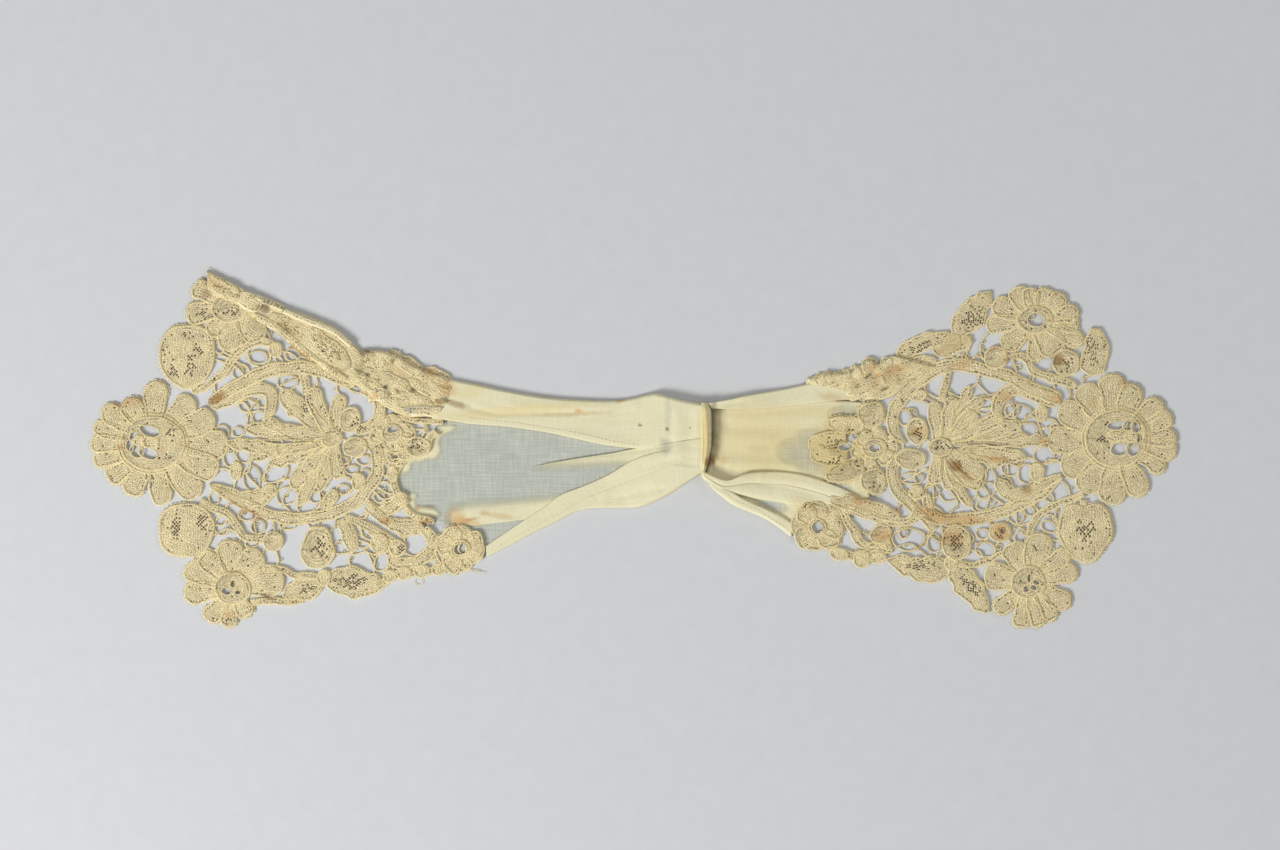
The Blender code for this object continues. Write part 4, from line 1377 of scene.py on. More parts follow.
# %% [markdown]
# The hearts of the large flowers have several openings round a small cloth tongue. Half stitch, the looser net
# of crossed threads, fills the middles of some leaves. Both are tables of middles and sizes in millimetres. The
# ground is knotted and looped more than it is straight, so round meshes, rings and slender bars join its bars.

# %% Openings, half stitch, meshes and slender bars
OPEN_LEFT = """
x y wide high turn
150 431 6.4 3.2 -18
134 436 3.4 2.4 45
130 446 2.4 4.0 12
137.5 451.5 4.4 3.6 -30
149 453.5 5.6 3.4 -18
226 591 3.4 2.2 0
233 584 1.6 2.2 0
238 592.5 1.8 1.4 0
393 430 3.8 2.2 10
460 549 4.2 3.4 0
287 442 15.6 1.2 0
"""
OPEN_RIGHT = """
x y wide high turn
1117 425 6.4 2.8 12
1128 425.5 3.4 3.0 0
1136 427.5 2.4 3.4 15
1138.6 438.3 1.5 2.6 0
1118.5 449 4.8 4.0 10
1132 449 4.2 4.0 0
1028.5 578 1.3 2.8 0
1035.5 582 2.2 1.6 0
1025.7 589 1.8 2.1 0
1033.7 587.7 2.0 1.8 0
1041.4 584 0.9 0.8 0
1036 320 5.4 4.4 0
874 448 3.4 2.4 0
817.5 527 3.6 3.6 0
1001.6 531 1.6 1.6 0
978 445 15.6 1.2 0
844 447 3.6 2.8 0
833 448 3.6 1.0 0
854.5 436 3.0 2.2 25
858 463 3.0 2.2 -30
"""
TONGUES_LEFT = """
petal 4.0 160,442 143,441.5
scroll 3.4 145,441 133,440.5
"""
TONGUES_RIGHT = """
petal 3.8 1105,435.5 1127,435.5
scroll 3.6 1125,436.5 1138,436.5
"""
MESHES_LEFT = """
x y wide high turn
230 457 3.9 6.2 0
243 456 4.2 4.2 0
252 478 5.6 7.9 0
276 474 9.0 5.0 28
287 496 6.7 5.6 0
222 433 4.2 4.5 0
238 432 3.7 2.8 0
210.5 430.5 3.6 2.8 0
259 419.5 4.2 6.0 0
222 525.6 4.8 6.4 0
246 515 4.5 3.4 0
258 526.5 4.5 4.2 0
288 525 5.0 2.8 0
251 544 3.4 2.2 0
215 498 3.4 3.9 0
258 357 5.9 4.2 0
238 372 3.5 4.1 0
249 406 6.2 4.1 0
287.5 382 6.2 4.7 0
293 355 4.7 4.1 0
364 460 5.0 3.0 0
352 470 4.1 2.8 0
344 463 3.5 3.5 0
366 474.5 3.5 3.5 0
343 489.5 4.1 3.5 0
316 497 5.3 3.5 0
379 497 3.5 3.5 0
"""
MESHES_RIGHT = """
x y wide high turn
1044 455 6.6 5.4 0
1010 467 5.8 5.2 -20
1026.5 474 5.7 6.0 0
986.5 491 7.0 4.5 25
986 503.5 7.0 3.8 22
1029 429 5.6 4.2 0
1022 413 5.6 4.8 0
1048 432 4.4 3.2 0
912 478 7.4 3.4 0
932.5 491.6 4.4 4.0 0
1015.4 516.5 5.0 4.6 0
1029 510.7 3.6 2.8 0
1048.6 526.5 5.0 3.8 -15
985.5 549.4 6.2 5.0 0
982 533.4 4.2 3.4 0
933.5 543 3.8 6.0 0
909 539.5 10.4 7.4 0
903.6 534 2.8 3.2 0
1020 538 3.6 4.0 0
904 418 4.4 5.0 0
984 405 6.0 5.6 0
1012 410 4.4 4.6 0
961 359 3.0 2.8 0
"""
HALF_STITCH_LEFT = """
x y wide high turn
198 350 4.6 3.0 -30
174 372 2.8 4.4 20
186 333 3.4 1.8 0
190 366 3.0 5.0 0
176 526 2.8 8.8 0
202 523 3.8 4.2 0
321 549 4.4 7.6 0
347 582 10.6 3.6 0
308 589 5.2 2.8 20
418 447 5.0 3.8 0
398 548 3.8 3.0 0
235 309 6.0 3.6 0
207 314 6.0 3.0 0
170 432 4.0 2.0 30
170 458 4.0 2.0 -30
150 477 2.2 6.0 -10
360 425 4.0 4.0 0
307 404 3.0 7.0 -15
414 438 3.0 2.0 0
"""
HALF_STITCH_RIGHT = """
x y wide high turn
974 318 5.4 8.6 -35
926 345 12.0 2.6 20
1091 350 3.8 8.0 0
1068 362 3.0 3.0 0
1085 531 5.0 6.0 0
1102 440 4.0 2.6 0
970 586 8.0 3.4 -40
920 566 9.0 2.6 10
836 441 6.0 2.0 0
838 460 6.0 2.0 10
849 430 3.0 1.6 -12
1000 532 3.0 3.0 0
956 542 4.0 5.0 0
918 432 3.0 4.0 0
940 446 4.0 3.0 0
"""
SLENDER_BARS_LEFT = """
205,342 216,348 226,358
216,345 214,355 222,362
222,350 232,352 243,347
262,346 272,352 276,362
300,356 312,366 322,370
250,400 262,404 270,400
330,372 344,384 358,388
336,376 348,392 360,392
352,388 364,386 372,392
366,388 372,398 384,396
134,445 131,452
144,448 140,458
460,543 461,555
270,440 270,445
282,440 282,445
294,440 294,445
305,440 305,445
306,488 316,484 322,492
345,474 350,480
349,480 356,484
352,486 358,490
374,484 384,480 394,486
374,490 384,496 396,494
384,500 392,506 402,504
366,512 360,520 366,530
370,520 366,534 376,538
384,528 388,538 398,540
398,528 402,536 412,538
408,532 418,534 424,544
404,552 414,554 424,550
356,540 366,548 378,550
352,556 366,556 378,560
366,552 376,556 386,552
366,558 378,566 392,566
392,564 402,560 414,566
420,562 430,566 438,562
270,516 276,522 286,518
"""
SLENDER_BARS_RIGHT = """
1127.5,421 1128.7,425.5 1125.5,431
1133,421 1131.5,430
1136,442 1125.5,447 1124,456
966,442 966,448
982,442 982,448
996,442 996,448
1000,346 1006,354 1002,362
1008,348 1016,352 1022,346
1012,354 1018,362 1026,358
1022,364 1030,370 1028,378
1040,366 1044,374 1054,376
1048,372 1056,382 1054,392
1066,384 1074,392 1072,402
984,346 978,354 984,362
972,350 966,358 970,368
956,358 948,364 946,372
980,386 986,396 996,394
1040,402 1050,408 1058,404
952,390 958,400 966,396
930,392 938,396 944,390
922,404 930,410 926,420
930,422 936,430 930,438
938,494 944,502 954,500
940,506 948,512 956,510
950,480 958,488 966,484
956,492 964,500 974,496
996,500 1004,506 1012,500
1036,486 1046,490 1054,486
1042,496 1048,504 1056,500
1036,508 1044,516 1052,514
1046,536 1054,542 1062,538
1008,540 1014,548 1024,546
970,530 976,538 972,548
940,528 946,534 942,544
866,532 872,540 868,548
850,536 858,544 854,552
858,472 866,476 864,486
882,470 888,478 884,486
"""
RINGS_LEFT = "241,447 372,400 305,498 363,489 384,533 345,537 271,412"
RINGS_RIGHT = "1024,532 1048,566 1031,317 999,547 956,404 931,521 1018,368 914,386"
print(len(table(MESHES_LEFT + MESHES_RIGHT.split("turn")[1])), "round meshes,",
      len(lines(SLENDER_BARS_LEFT + SLENDER_BARS_RIGHT)), "slender bars")

# %% [markdown]
# Now the two ends are worked from their tables. The order gives the layers: bands and leaves lie lowest, then
# petals, discs and hearts.

# %% Work both lace ends
LEAF_LIFT = 0.0
PETAL_LIFTS = (0.05 * MM, 0.14 * MM, 0.09 * MM)
DISC_LIFT = 0.16 * MM
PETAL_EASE = 1.2
LEAF_EASE = {"leaf": 1.22, "petal": 1.18, "blade": 1.0, "scroll": 1.0, "stem": 1.0}
HEART_LIFT = 0.24 * MM
FRILLED = {"left": -1, "right": 1}


def work_petals(end, side, hearts, petals):
    """Petals from the edge of their heart outwards, lying over each other in turn."""
    for index, row in enumerate(table(petals)):
        heart = hearts[row["flower"]]
        middle = place(heart["x"], heart["y"])
        tip = place(row["x"], row["y"])
        outward = (tip - middle).normalized()
        reach = 1 / math.hypot(outward.x / (heart["wide"] / 2 * MM), outward.y / (heart["high"] / 2 * MM))
        base = middle + outward * reach * 0.85
        lean = Vector((-outward.y, outward.x)) * end.dice.uniform(-0.5, 0.5) * MM
        wide = row["wide"] * MM * PETAL_EASE * end.dice.uniform(0.95, 1.06)
        rows, outline = blade([base, base.lerp(tip, 0.55) - lean * 0.5, tip + lean], wide, "petal")
        lift = PETAL_LIFTS[index % 3]
        end.work(rows, outline, lift)
        if outward.x * FRILLED[side] > -0.15 or (row["flower"] == "low" and outward.y < 0):
            start = len(outline) * 3 // 10
            end.pin_loops(outline[start:len(outline) - start], lift)


def work_hearts(end, hearts, openings):
    """Hearts with a thread round each opening. The largest have a second outline close outside."""
    for heart in hearts.values():
        rows, loop = disc(heart, True)
        end.work(rows, loop, HEART_LIFT)
        if heart["wide"] > 15:
            grown_ring = dict(heart, wide=heart["wide"] + 1.6, high=heart["high"] + 1.6)
            end.outline(oval(grown_ring, 0, 60), HEART_LIFT - 0.05 * MM, 0.22 * MM)
    for opening in table(openings):
        loop = oval(opening, -0.1 * MM)
        end.edges += [tuple(p) for p in loop]
        end.outline(loop, HEART_LIFT, 0.2 * MM)


def worked_end(side, tables, lawn, openings, half_stitch, tongues, bars, slender, meshes, rings):
    """A whole lace end from its tables, as a cloth piece, its outline threads and its ground."""
    hearts_text, petals, discs, leaves = tables
    end = LaceEnd(side, lawn, openings, half_stitch)
    for words in lines(leaves):
        shape, wide, *line = words
        rows, outline = blade(places(line), float(wide) * MM * LEAF_EASE[shape], shape)
        end.work(rows, outline, LEAF_LIFT + end.dice.uniform(0, 0.06) * MM)
    hearts = {row["flower"]: row for row in table(hearts_text)}
    work_petals(end, side, hearts, petals)
    for row in table(discs):
        large = row["wide"] > 15
        rows, loop = disc(row, row["high"] > 6 and row["high"] < 15)
        end.work(rows, loop, DISC_LIFT)
        if large:
            outer = loop if side == "right" else loop[len(loop) // 4:len(loop) * 3 // 4]
            end.pin_loops(outer, DISC_LIFT)
        if side == "right" and row["x"] < 890 and row["wide"] > 8:
            end.pin_loops(loop, DISC_LIFT)
    work_hearts(end, hearts, openings)
    for shape, wide, *line in lines(tongues):
        rows, outline = blade(places(line), float(wide) * MM, shape)
        end.work(rows, outline, HEART_LIFT + 0.06 * MM, whole=True)
    for words in lines(bars):
        end.bar(places(words))
    for row in table(meshes):
        end.cord(oval(row), CORD_RADIUS)
        end.edges += [tuple(p) for p in oval(row)]
    for words in lines(slender):
        end.bar(places(words), CORD_RADIUS, picots=False)
    for middle in places(rings.split()):
        end.small_ring(middle, 0.95 * MM, 0.2 * MM)
    end.cloth.closed(end.feet)
    cloth = end.cloth.piece(side + "_lace_cloth_stitch", STITCH_CLOTH)
    outlines = end.outlines.piece(side + "_lace_outline_threads", OUTLINE_THREAD)
    ground = end.ground.piece(side + "_lace_ground_bars", GROUND_THREAD)
    return cloth, outlines, ground


left_end = worked_end("left", (HEARTS_LEFT, PETALS_LEFT, DISCS_LEFT, LEAVES_LEFT), LAWN_LEFT, OPEN_LEFT,
                      HALF_STITCH_LEFT, TONGUES_LEFT, BARS_LEFT, SLENDER_BARS_LEFT, MESHES_LEFT, RINGS_LEFT)
right_end = worked_end("right", (HEARTS_RIGHT, PETALS_RIGHT, DISCS_RIGHT, LEAVES_RIGHT), LAWN_RIGHT, OPEN_RIGHT,
                       HALF_STITCH_RIGHT, TONGUES_RIGHT, BARS_RIGHT, SLENDER_BARS_RIGHT, MESHES_RIGHT,
                       RINGS_RIGHT)

# Folds and pleats: outer edge and inner edge at each section, and the height of the top there
BORDER_FOLD_LEFT = """
outer_x outer_y inner_x inner_y top
207 271 208 293 1.6
222 278 221 298 2.2
244 289 238 305 2.3
260 297 254 317 2.2
283 308 268 326 2.4
297 312 284 338 2.3
316 319 300 350 2.5
335 328 314 360 2.4
350 340 330 373 2.4
359 349 345 381 2.2
367 353 354 388 1.8
"""
BORDER_CRUMPLE_LEFT = """
outer_x outer_y inner_x inner_y top
361 350 349 383 2.0
369 351 360 387 2.8
378 350 370 394 2.1
388 352 379 402 2.9
396 355 389 409 2.1
404 360 399 414 3.0
413 365 410 417 2.2
422 369 420 417 2.8
432 373 430 416 2.1
440 375.5 438 413 2.5
453 382 449 402 1.9
"""
PLEAT_TOP_LEFT = """
outer_x outer_y inner_x inner_y top
436 375.5 432 419 2.2
452 379.5 452 421 2.4
475 384 471 424 2.5
502 390 509 427 2.6
542 397 544 432 2.5
583 400 573 438 2.6
620 400 605 445 2.6
649 394 642 449 2.8
657 393.5 664 446.5 3.0
682 400 688 444 3.3
704 404 704 446 3.6
"""
PLEAT_WEDGE_LEFT = """
outer_x outer_y inner_x inner_y top
528 470.5 526 468.5 2.2
546 471.5 545 464 2.4
570 471 570 459.5 2.6
592 470 592 456 2.6
612 469 612 453 2.6
632 469 632 449 2.7
657 471 657 444.5 2.9
680 473 680 440.5 3.5
704 476 704 436.5 3.8
"""
PLEAT_FOLD_LEFT = """
outer_x outer_y inner_x inner_y top
444 504 446 524 2.0
466 498 466 526 2.1
490 496 490 523.5 2.1
512 494 512 521 2.1
533 492 533 518 2.1
562 489 560 511 2.0
"""
PLEAT_HEM_LEFT = """
outer_x outer_y inner_x inner_y top
487 557 486 546 2.5
503 549 505 533 2.5
535 532 529 517 2.6
557 521.5 548 504 2.5
578 511 562 494 2.5
600 508 583 486 2.5
636 507.5 608 474.5 2.6
652 503 632 460 2.8
670 494 655 452 3.0
684 485 680 447 3.3
704 471 704 443 3.6
"""
WAIST_ROLL = """
outer_x outer_y inner_x inner_y top
699.5 402.5 708.5 403 3.2
699 410 711 410 4.4
699 428 711.5 428 4.8
699 446 711 446 4.6
699 462 708 462 4.4
699 473 705 473 3.2
"""
PLEAT_TOP_RIGHT = """
outer_x outer_y inner_x inner_y top
708 403 711 408.5 3.3
728 399.5 728 409 2.8
745 395.5 748 409 2.6
768 391.5 777 407.5 2.5
790 387.5 806 404 2.5
810 383 836 400.5 2.4
832 380 862 399.5 2.2
"""
PLEAT_FIRST_RIGHT = """
outer_x outer_y inner_x inner_y top
702 478 701.5 470.4 3.5
719 488 720 478.5 3.1
728 489 730 479.5 2.8
747 486.5 747 473 2.6
767 486.5 770 471.5 2.7
786 488.5 790 472.5 2.6
805 492.5 808 476 2.6
824 498 826 482 2.6
843 506.5 845 489.5 2.2
862 514 868 501 1.0
"""
PLEAT_SECOND_RIGHT = """
outer_x outer_y inner_x inner_y top
703 479 703 474 3.4
719 489 719 485 3.1
732 494 731 485.7 2.7
753 498.5 748 483 2.6
776 502 768 483 2.6
797 505.5 788 485 2.6
812 507.5 806 489 2.6
828 509 825 494.5 2.5
844 511 841 502 2.4
"""
PLEAT_HEM_RIGHT = """
outer_x outer_y inner_x inner_y top
701 472 704 475 3.2
712 488 714 484 3.0
723 497.5 729 490 2.8
733 505 741 497 2.6
748 511.5 753 503 2.5
763 518 769 510 2.5
777 526.5 783 517 2.5
791 537 793 524 2.5
"""
BORDER_CRUMPLE_RIGHT = """
outer_x outer_y inner_x inner_y top
808 380 812 384 1.6
816 377 822 386 2.2
825 373 833 388.5 2.6
834 374 842 391.5 2.2
844 373 851 397.5 2.8
852 370 863 399 2.3
859 366 876 399 3.2
867 359 888 398 2.4
877 364 897 394 3.0
884 359 908 384 2.3
891 356 921 374 2.7
899 357 934 367 2.0
"""

# %% [markdown]
# The lawn halves are the strip's lowest layer, flat on the table and single, so the weave is sheer there. Creases
# were pressed in while it lay folded. Each is a line in a table, with its rise and its width: a trough where the
# rise is below nought. The same table creases the pleats that lie on the panels.

# %% Creases
CREASES = """
-0.28 0.9 458,404 480,410 503,414 540,413 570,413 583,412
0.20 1.6 500,403 540,406 580,407 620,405 640,403
-0.16 1.2 600,401 616,404 630,404
-0.35 0.9 528,468 560,461 590,456 620,452 642,449 668,445 694,439
0.25 1.6 560,432 600,440 640,446
-0.20 2.0 664,404 666,420 668,436 666,452
0.22 2.6 676,404 679,430 676,462
-0.16 2.0 688,406 690,440 687,470
-0.30 1.0 611,501 631,494 652,490 670,487
0.18 1.2 600,497 630,486 660,478
-0.18 1.0 592,506 598,498 604,494
0.16 0.9 598,506 604,498 611,494
-0.16 0.9 606,507 611,500 617,495
0.16 0.9 613,507 618,500 624,494
-0.14 0.9 620,506 625,500 631,494
-0.14 1.0 640,470 662,462 690,458
0.16 1.6 640,462 666,456 694,450
-0.22 0.9 466,508 490,507 510,506 530,503
0.16 1.4 470,503 500,502 530,499
-0.12 1.6 500,430 520,460 536,492
0.10 2.4 470,440 490,470 500,496
-0.30 0.9 711,407 728,404 746,400
0.18 1.4 716,402 736,399 754,396
-0.20 1.6 747,398 747,412
-0.25 0.9 713,412 760,411 800,407 836,402
0.22 2.0 713,418 750,419 790,416
-0.18 1.6 713,426 750,428 790,428 816,424
0.20 2.0 713,436 744,438 780,440
-0.22 2.2 712,450 744,454 780,455 812,452
0.24 2.0 712,460 740,464 776,465 806,466
-0.20 1.2 712,466 736,471 760,472
-0.55 1.8 714,405 715.5,430 714,466
-0.22 1.0 726,486 750,482 775,485 800,491 826,499
0.18 1.2 720,482 745,478 780,480 820,488 850,497
-0.16 1.0 740,498 770,504 800,510
0.14 1.4 730,494 756,506 784,522
"""
CREASE_FADE = 5 * MM


def crease_lines(text):
    """Each crease as closely spaced points, its rise, its width and the box that it can reach."""
    made = []
    for rise, wide, *words in lines(text):
        points = places(words)
        count = max(4, round(length_of(points) / MM))
        path = [spline(points, i / count) for i in range(count + 1)]
        reach = 2.2 * float(wide) * MM
        low = Vector((min(p.x for p in path) - reach, min(p.y for p in path) - reach))
        high = Vector((max(p.x for p in path) + reach, max(p.y for p in path) + reach))
        made.append((path, float(rise) * MM, float(wide) * MM, low, high))
    return made


CREASE_LINES = crease_lines(CREASES)


def crease_rise(point):
    """How far the creases lift or lower the cloth at a flat point."""
    total = 0
    for path, rise, wide, low, high in CREASE_LINES:
        if not (low.x < point.x < high.x and low.y < point.y < high.y):
            continue
        nearest, index = min(((p - point).length_squared, i) for i, p in enumerate(path))
        end = min(index, len(path) - 1 - index) / (len(path) - 1) * length_of(path)
        total += rise * math.exp(-nearest / wide ** 2) * eased(end / CREASE_FADE + 0.25)
    soft = noise.noise(Vector((point.x, point.y, 3)) * 90) * 0.12 * MM
    return total + soft


print(len(CREASE_LINES), "creases")

# %% [markdown]
# A panel of lawn is filled with points on a grid and joined into triangles inside its outline, which keeps the
# edge smooth. How many layers lie there goes to the material, because one layer is sheer and two are not. The
# Solidify modifier then gives the cloth its thickness.

# %% Lawn panels
LAWN_CELL = 0.8 * MM
LAWN_THICKNESS = 0.18 * MM
PANEL_HEIGHT = 0.82 * MM
KEEP_INSIDE = 1


def solidified(obj, thickness):
    """The object with its cloth given a thickness downwards."""
    modifier = obj.modifiers.new("thickness of the cloth", "SOLIDIFY")
    modifier.thickness = thickness
    modifier.offset = -1
    depsgraph = bpy.context.evaluated_depsgraph_get()
    mesh = bpy.data.meshes.new_from_object(obj.evaluated_get(depsgraph))
    obj.modifiers.clear()
    for vertex in mesh.vertices:
        vertex.co.z = max(vertex.co.z, THREAD_REST)
    obj.data = mesh
    return obj


def layers_at(spot, point):
    """How far a patch reaches at a point, fading softly past its edge."""
    middle, turn, wide, high, _ = spot
    off = turn @ Vector((point.x - middle.x, point.y - middle.y))
    return eased((1.7 - math.hypot(off.x / wide, off.y / high)) / 1.2)


def lawn_panel(name, outline, patches_text, layers=0, height=PANEL_HEIGHT, soft=0):
    """A woven sheet inside its outline, flat but for its creases, with patches where its layers differ."""
    if area_of(outline) < 0:
        outline.reverse()
    rim = []
    for a, b in zip(outline, outline[1:] + outline[:1]):
        count = max(1, round((b - a).length / LAWN_CELL))
        rim += [a.lerp(b, i / count) for i in range(count)]
    patches = spots(patches_text)
    low = Vector((min(p.x for p in outline), min(p.y for p in outline)))
    high = Vector((max(p.x for p in outline), max(p.y for p in outline)))
    filling = []
    for i in range(round((high.x - low.x) / LAWN_CELL)):
        for j in range(round((high.y - low.y) / LAWN_CELL)):
            point = low + Vector((i + 0.5, j + 0.5)) * LAWN_CELL
            if distance_to(outline, point) < -0.6 * LAWN_CELL:
                filling.append(point)
    flat, _, faces, *_ = delaunay_2d_cdt(rim + filling, [], [list(range(len(rim)))], KEEP_INSIDE, 1e-6)
    cloth = Cloth()
    for point in flat:
        z = height + crease_rise(point)
        patch = max((layers_at(spot, point) for spot in patches), default=0)
        cloth.points.append(Vector((point.x, point.y, max(z, 0.3 * MM))))
        shown = eased(-distance_to(outline, point) / soft) if soft else 1
        cloth.threads.append((point.x / MM, point.y / MM, abs(layers - patch) * shown))
    cloth.faces = [tuple(face) for face in faces]
    return solidified(cloth.piece(name, FADING_LAWN if soft else SHEER_LAWN), LAWN_THICKNESS)


DOUBLED_LEFT = """
x y wide high turn
676 452 16 30 0
500 405 60 8 0
"""
SHEER_RIGHT = """
x y wide high turn
814 451 11 10 0
794 452 8 6.0 -6
848 414 9 4.0 0
838 490 8 4.0 -20
770 503 8 3.0 -20
"""
# The turned edge of the lawn under the lace heading, with its scallops
HEADING_LEFT = """
436,425 446,422.5 456,424 458,428 454,433 448,436 443,438 441.5,443 443,448 442.5,453 440,458 434,462 428,461.5
421,464.5 414,464 413,469 410,474 404,476.5 401,482 402,488 408,491 415,490.5 419,495 417.5,502 423,505 431,505
438,509 442,513 440,518 430,520 418,519 406,515 402,505 395,499 388,494 387,478 394,469 400,461 406,454
420,451 427,443 431,436
"""
HEADING_SAMPLES = 200
LAYER_STEP = 0.06 * MM
SOFT_EDGE = 1.6 * MM
ALL_ROUND = "x y wide high turn\n425 470 90 90 0"
lawn_left, lawn_right, heading = places(LAWN_LEFT.split()), places(LAWN_RIGHT.split()), places(HEADING_LEFT.split())
scallops = [spline(heading + heading[:1], i / HEADING_SAMPLES) for i in range(HEADING_SAMPLES)]
left_panel = lawn_panel("left_lawn_panel", lawn_left, DOUBLED_LEFT)
left_heading = lawn_panel("left_lawn_heading", scallops, ALL_ROUND, height=PANEL_HEIGHT + LAYER_STEP,
                          soft=SOFT_EDGE)
right_panel = lawn_panel("right_lawn_panel", lawn_right, SHEER_RIGHT, layers=1)

# %% [markdown]
# Pleats are folded over the panel. Each is lofted between its outer and inner edge, with a rounded fold at the
# outer edge that comes down to the table and a thinner one on the panel. The columns crowd at the edges, where
# the cloth turns.

# %% Pleats, folds and roll
TURN_SHARES = (0, 0.03, 0.13, 0.32, 0.62, 1.0)
TABLE_FOOT = 0.06 * MM
PANEL_FOOT = 0.85 * MM
CRISP = 0.35 * MM
WAIST_X = place(704, 430).x
WAIST_REACH = 16 * MM


def arc(share):
    """The height of a rounded edge, from 0 at its rim to 1 where it levels."""
    share = max(0, min(1, share))
    return math.sqrt(1 - (1 - share) ** 2)


def edge_shares(wide, outer_turn, inner_turn, cell):
    """Shares across a strip, crowded over the turn at both edges."""
    near = [share * outer_turn / wide for share in TURN_SHARES]
    far = [1 - share * inner_turn / wide for share in reversed(TURN_SHARES)]
    flat = far[0] - near[-1]
    count = max(2, round(flat * wide / cell))
    return near + [near[-1] + flat * i / count for i in range(1, count)] + far


def fade_of(from_start, from_end, fades):
    """How much of a soft fold shows near its two ends, from 0 to 1."""
    return min(eased(from_start / fades[0]), eased(from_end / fades[1]))


def strip_rows(text, outer_edge, inner_edge, rise=1.0, cell=0.55 * MM, relief=None, fades=None):
    """Rows of a folded strip from its table. Each edge is its foot's height and how far it takes to turn over."""
    outer_foot, outer_turn = outer_edge
    inner_foot, inner_turn = inner_edge
    rows = table(text)
    outer = [place(row["outer_x"], row["outer_y"]) for row in rows]
    inner = [place(row["inner_x"], row["inner_y"]) for row in rows]
    tops = [row["top"] * MM for row in rows]
    length = (length_of(outer) + length_of(inner)) / 2
    widest = max((b - a).length for a, b in zip(outer, inner))
    count = max(8, round(length / cell))
    outer_turn, inner_turn = min(outer_turn, widest * 0.6), min(inner_turn, widest * 0.3)
    shares = edge_shares(widest, outer_turn, inner_turn, cell)
    made = []
    for i in range(count + 1):
        share = i / count
        a, b = spline(outer, share), spline(inner, share)
        wide = (b - a).length
        near_waist = eased(1.6 - abs(a.x - WAIST_X) / WAIST_REACH)
        top = PANEL_FOOT + (spline(tops, share) - PANEL_FOOT) * (rise + (1 - rise) * near_waist)
        row = []
        for across in shares:
            flat = a.lerp(b, across)
            outward = arc(across * widest / outer_turn)
            inward = arc((1 - across) * widest / inner_turn)
            z = top - (top - outer_foot) * (1 - outward) - (top - inner_foot) * (1 - inward)
            lift = crease_rise(flat) if relief is None else relief(flat, share, across)
            point = Vector((flat.x, flat.y, max(0.05 * MM, z + lift * outward * inward)))
            # Towards a crisp inner edge the third number climbs from 1 to 2, which paints shade along that edge
            third = 1 + (1 - inward if inner_turn <= CRISP else 0)
            if fades:
                third = fade_of(share * length, (1 - share) * length, fades) * eased(across * wide / fades[2])
            row.append((point, (across * wide / MM, share * length / MM, third)))
        made.append(row)
    return made


def folded_piece(name, rows, material, thickness):
    cloth = Cloth()
    cloth.grid(rows)
    return solidified(cloth.piece(name, material), thickness)


ROUND_FOLD = (TABLE_FOOT, 1.0 * MM)
CRISP_EDGE = (PANEL_FOOT, CRISP)
SOFT_SLOPE = (PANEL_FOOT - 0.1 * MM, 4.0 * MM)
PRESSED = 0.45
NEARLY_FLAT = 0.12
# How far a soft fold takes to show from its first end, its last end and its lower edge
WEDGE_FADES = (9 * MM, 0.1 * MM, 3.4 * MM)
MIDDLE_FADES = (3 * MM, 0.1 * MM, 4.5 * MM)
pleats = {}
for name, text, outer_edge, inner_edge, rise, fades in (
    ("left_middle_fold", PLEAT_FOLD_LEFT, SOFT_SLOPE, CRISP_EDGE, NEARLY_FLAT, MIDDLE_FADES),
    ("left_top_pleat", PLEAT_TOP_LEFT, ROUND_FOLD, CRISP_EDGE, PRESSED, None),
    ("left_hem_pleat", PLEAT_HEM_LEFT, ROUND_FOLD, CRISP_EDGE, PRESSED, None),
    ("left_wedge_pleat", PLEAT_WEDGE_LEFT, SOFT_SLOPE, CRISP_EDGE, PRESSED, WEDGE_FADES),
    ("right_top_pleat", PLEAT_TOP_RIGHT, ROUND_FOLD, CRISP_EDGE, PRESSED, None),
    ("right_hem_pleat", PLEAT_HEM_RIGHT, ROUND_FOLD, CRISP_EDGE, PRESSED, None),
    ("right_first_pleat", PLEAT_FIRST_RIGHT, SOFT_SLOPE, CRISP_EDGE, PRESSED, None),
    ("right_second_pleat", PLEAT_SECOND_RIGHT, SOFT_SLOPE, CRISP_EDGE, PRESSED, None),
):
    rows = strip_rows(text, outer_edge, inner_edge, rise, fades=fades)
    pleats[name] = folded_piece(name, rows, FADING_LAWN if fades else FOLDED_LAWN, LAWN_THICKNESS)


def gathers(flat, share, across):
    """Three rounded tucks side by side along the roll, a little uneven."""
    sway = 0.5 * math.sin(share * 5 + 1)
    return 0.42 * MM * (abs(math.sin(math.pi * (across * 2.6 + 0.3 * sway))) - 0.6)


rows = strip_rows(WAIST_ROLL, (TABLE_FOOT, 1.3 * MM), (TABLE_FOOT, 1.3 * MM), 1.0, 0.3 * MM, gathers)
waist = folded_piece("waist_gathered_roll", rows, FOLDED_LAWN, LAWN_THICKNESS)

# %% [markdown]
# The upper border of each lace end was turned down and crushed in storage. The turned lace is one lofted shell,
# pressed nearly flat, with twisted ridges. Leaves and petals of the same lace lie over it, dropped onto the shell
# from above, so their outlines follow its humps. Small lobes stand out at its edge.

# %% Turned and crumpled borders
NO_RIM = 5.0
LACE_FOOT = 0.75 * MM
BORDER_FOLD = (TABLE_FOOT, 1.0 * MM)
BORDER_EDGE = (LACE_FOOT, 0.6 * MM)
BORDER_THREAD = 0.18 * MM


def twisted(slant, depth, across_pitch, along_pitch, seed):
    """Relief of slanting ridges, as in cloth that was wrung a little."""
    turn = Matrix.Rotation(math.radians(slant), 2)

    def relief(flat, share, across):
        off = turn @ flat
        spot = Vector((off.x / (along_pitch * MM), off.y / (across_pitch * MM), seed))
        ridge = 0.5 - abs(noise.noise(spot))
        small = noise.noise(spot * 2.7)
        return depth * MM * (1.6 * ridge - 0.55 + 0.6 * small)
    return relief


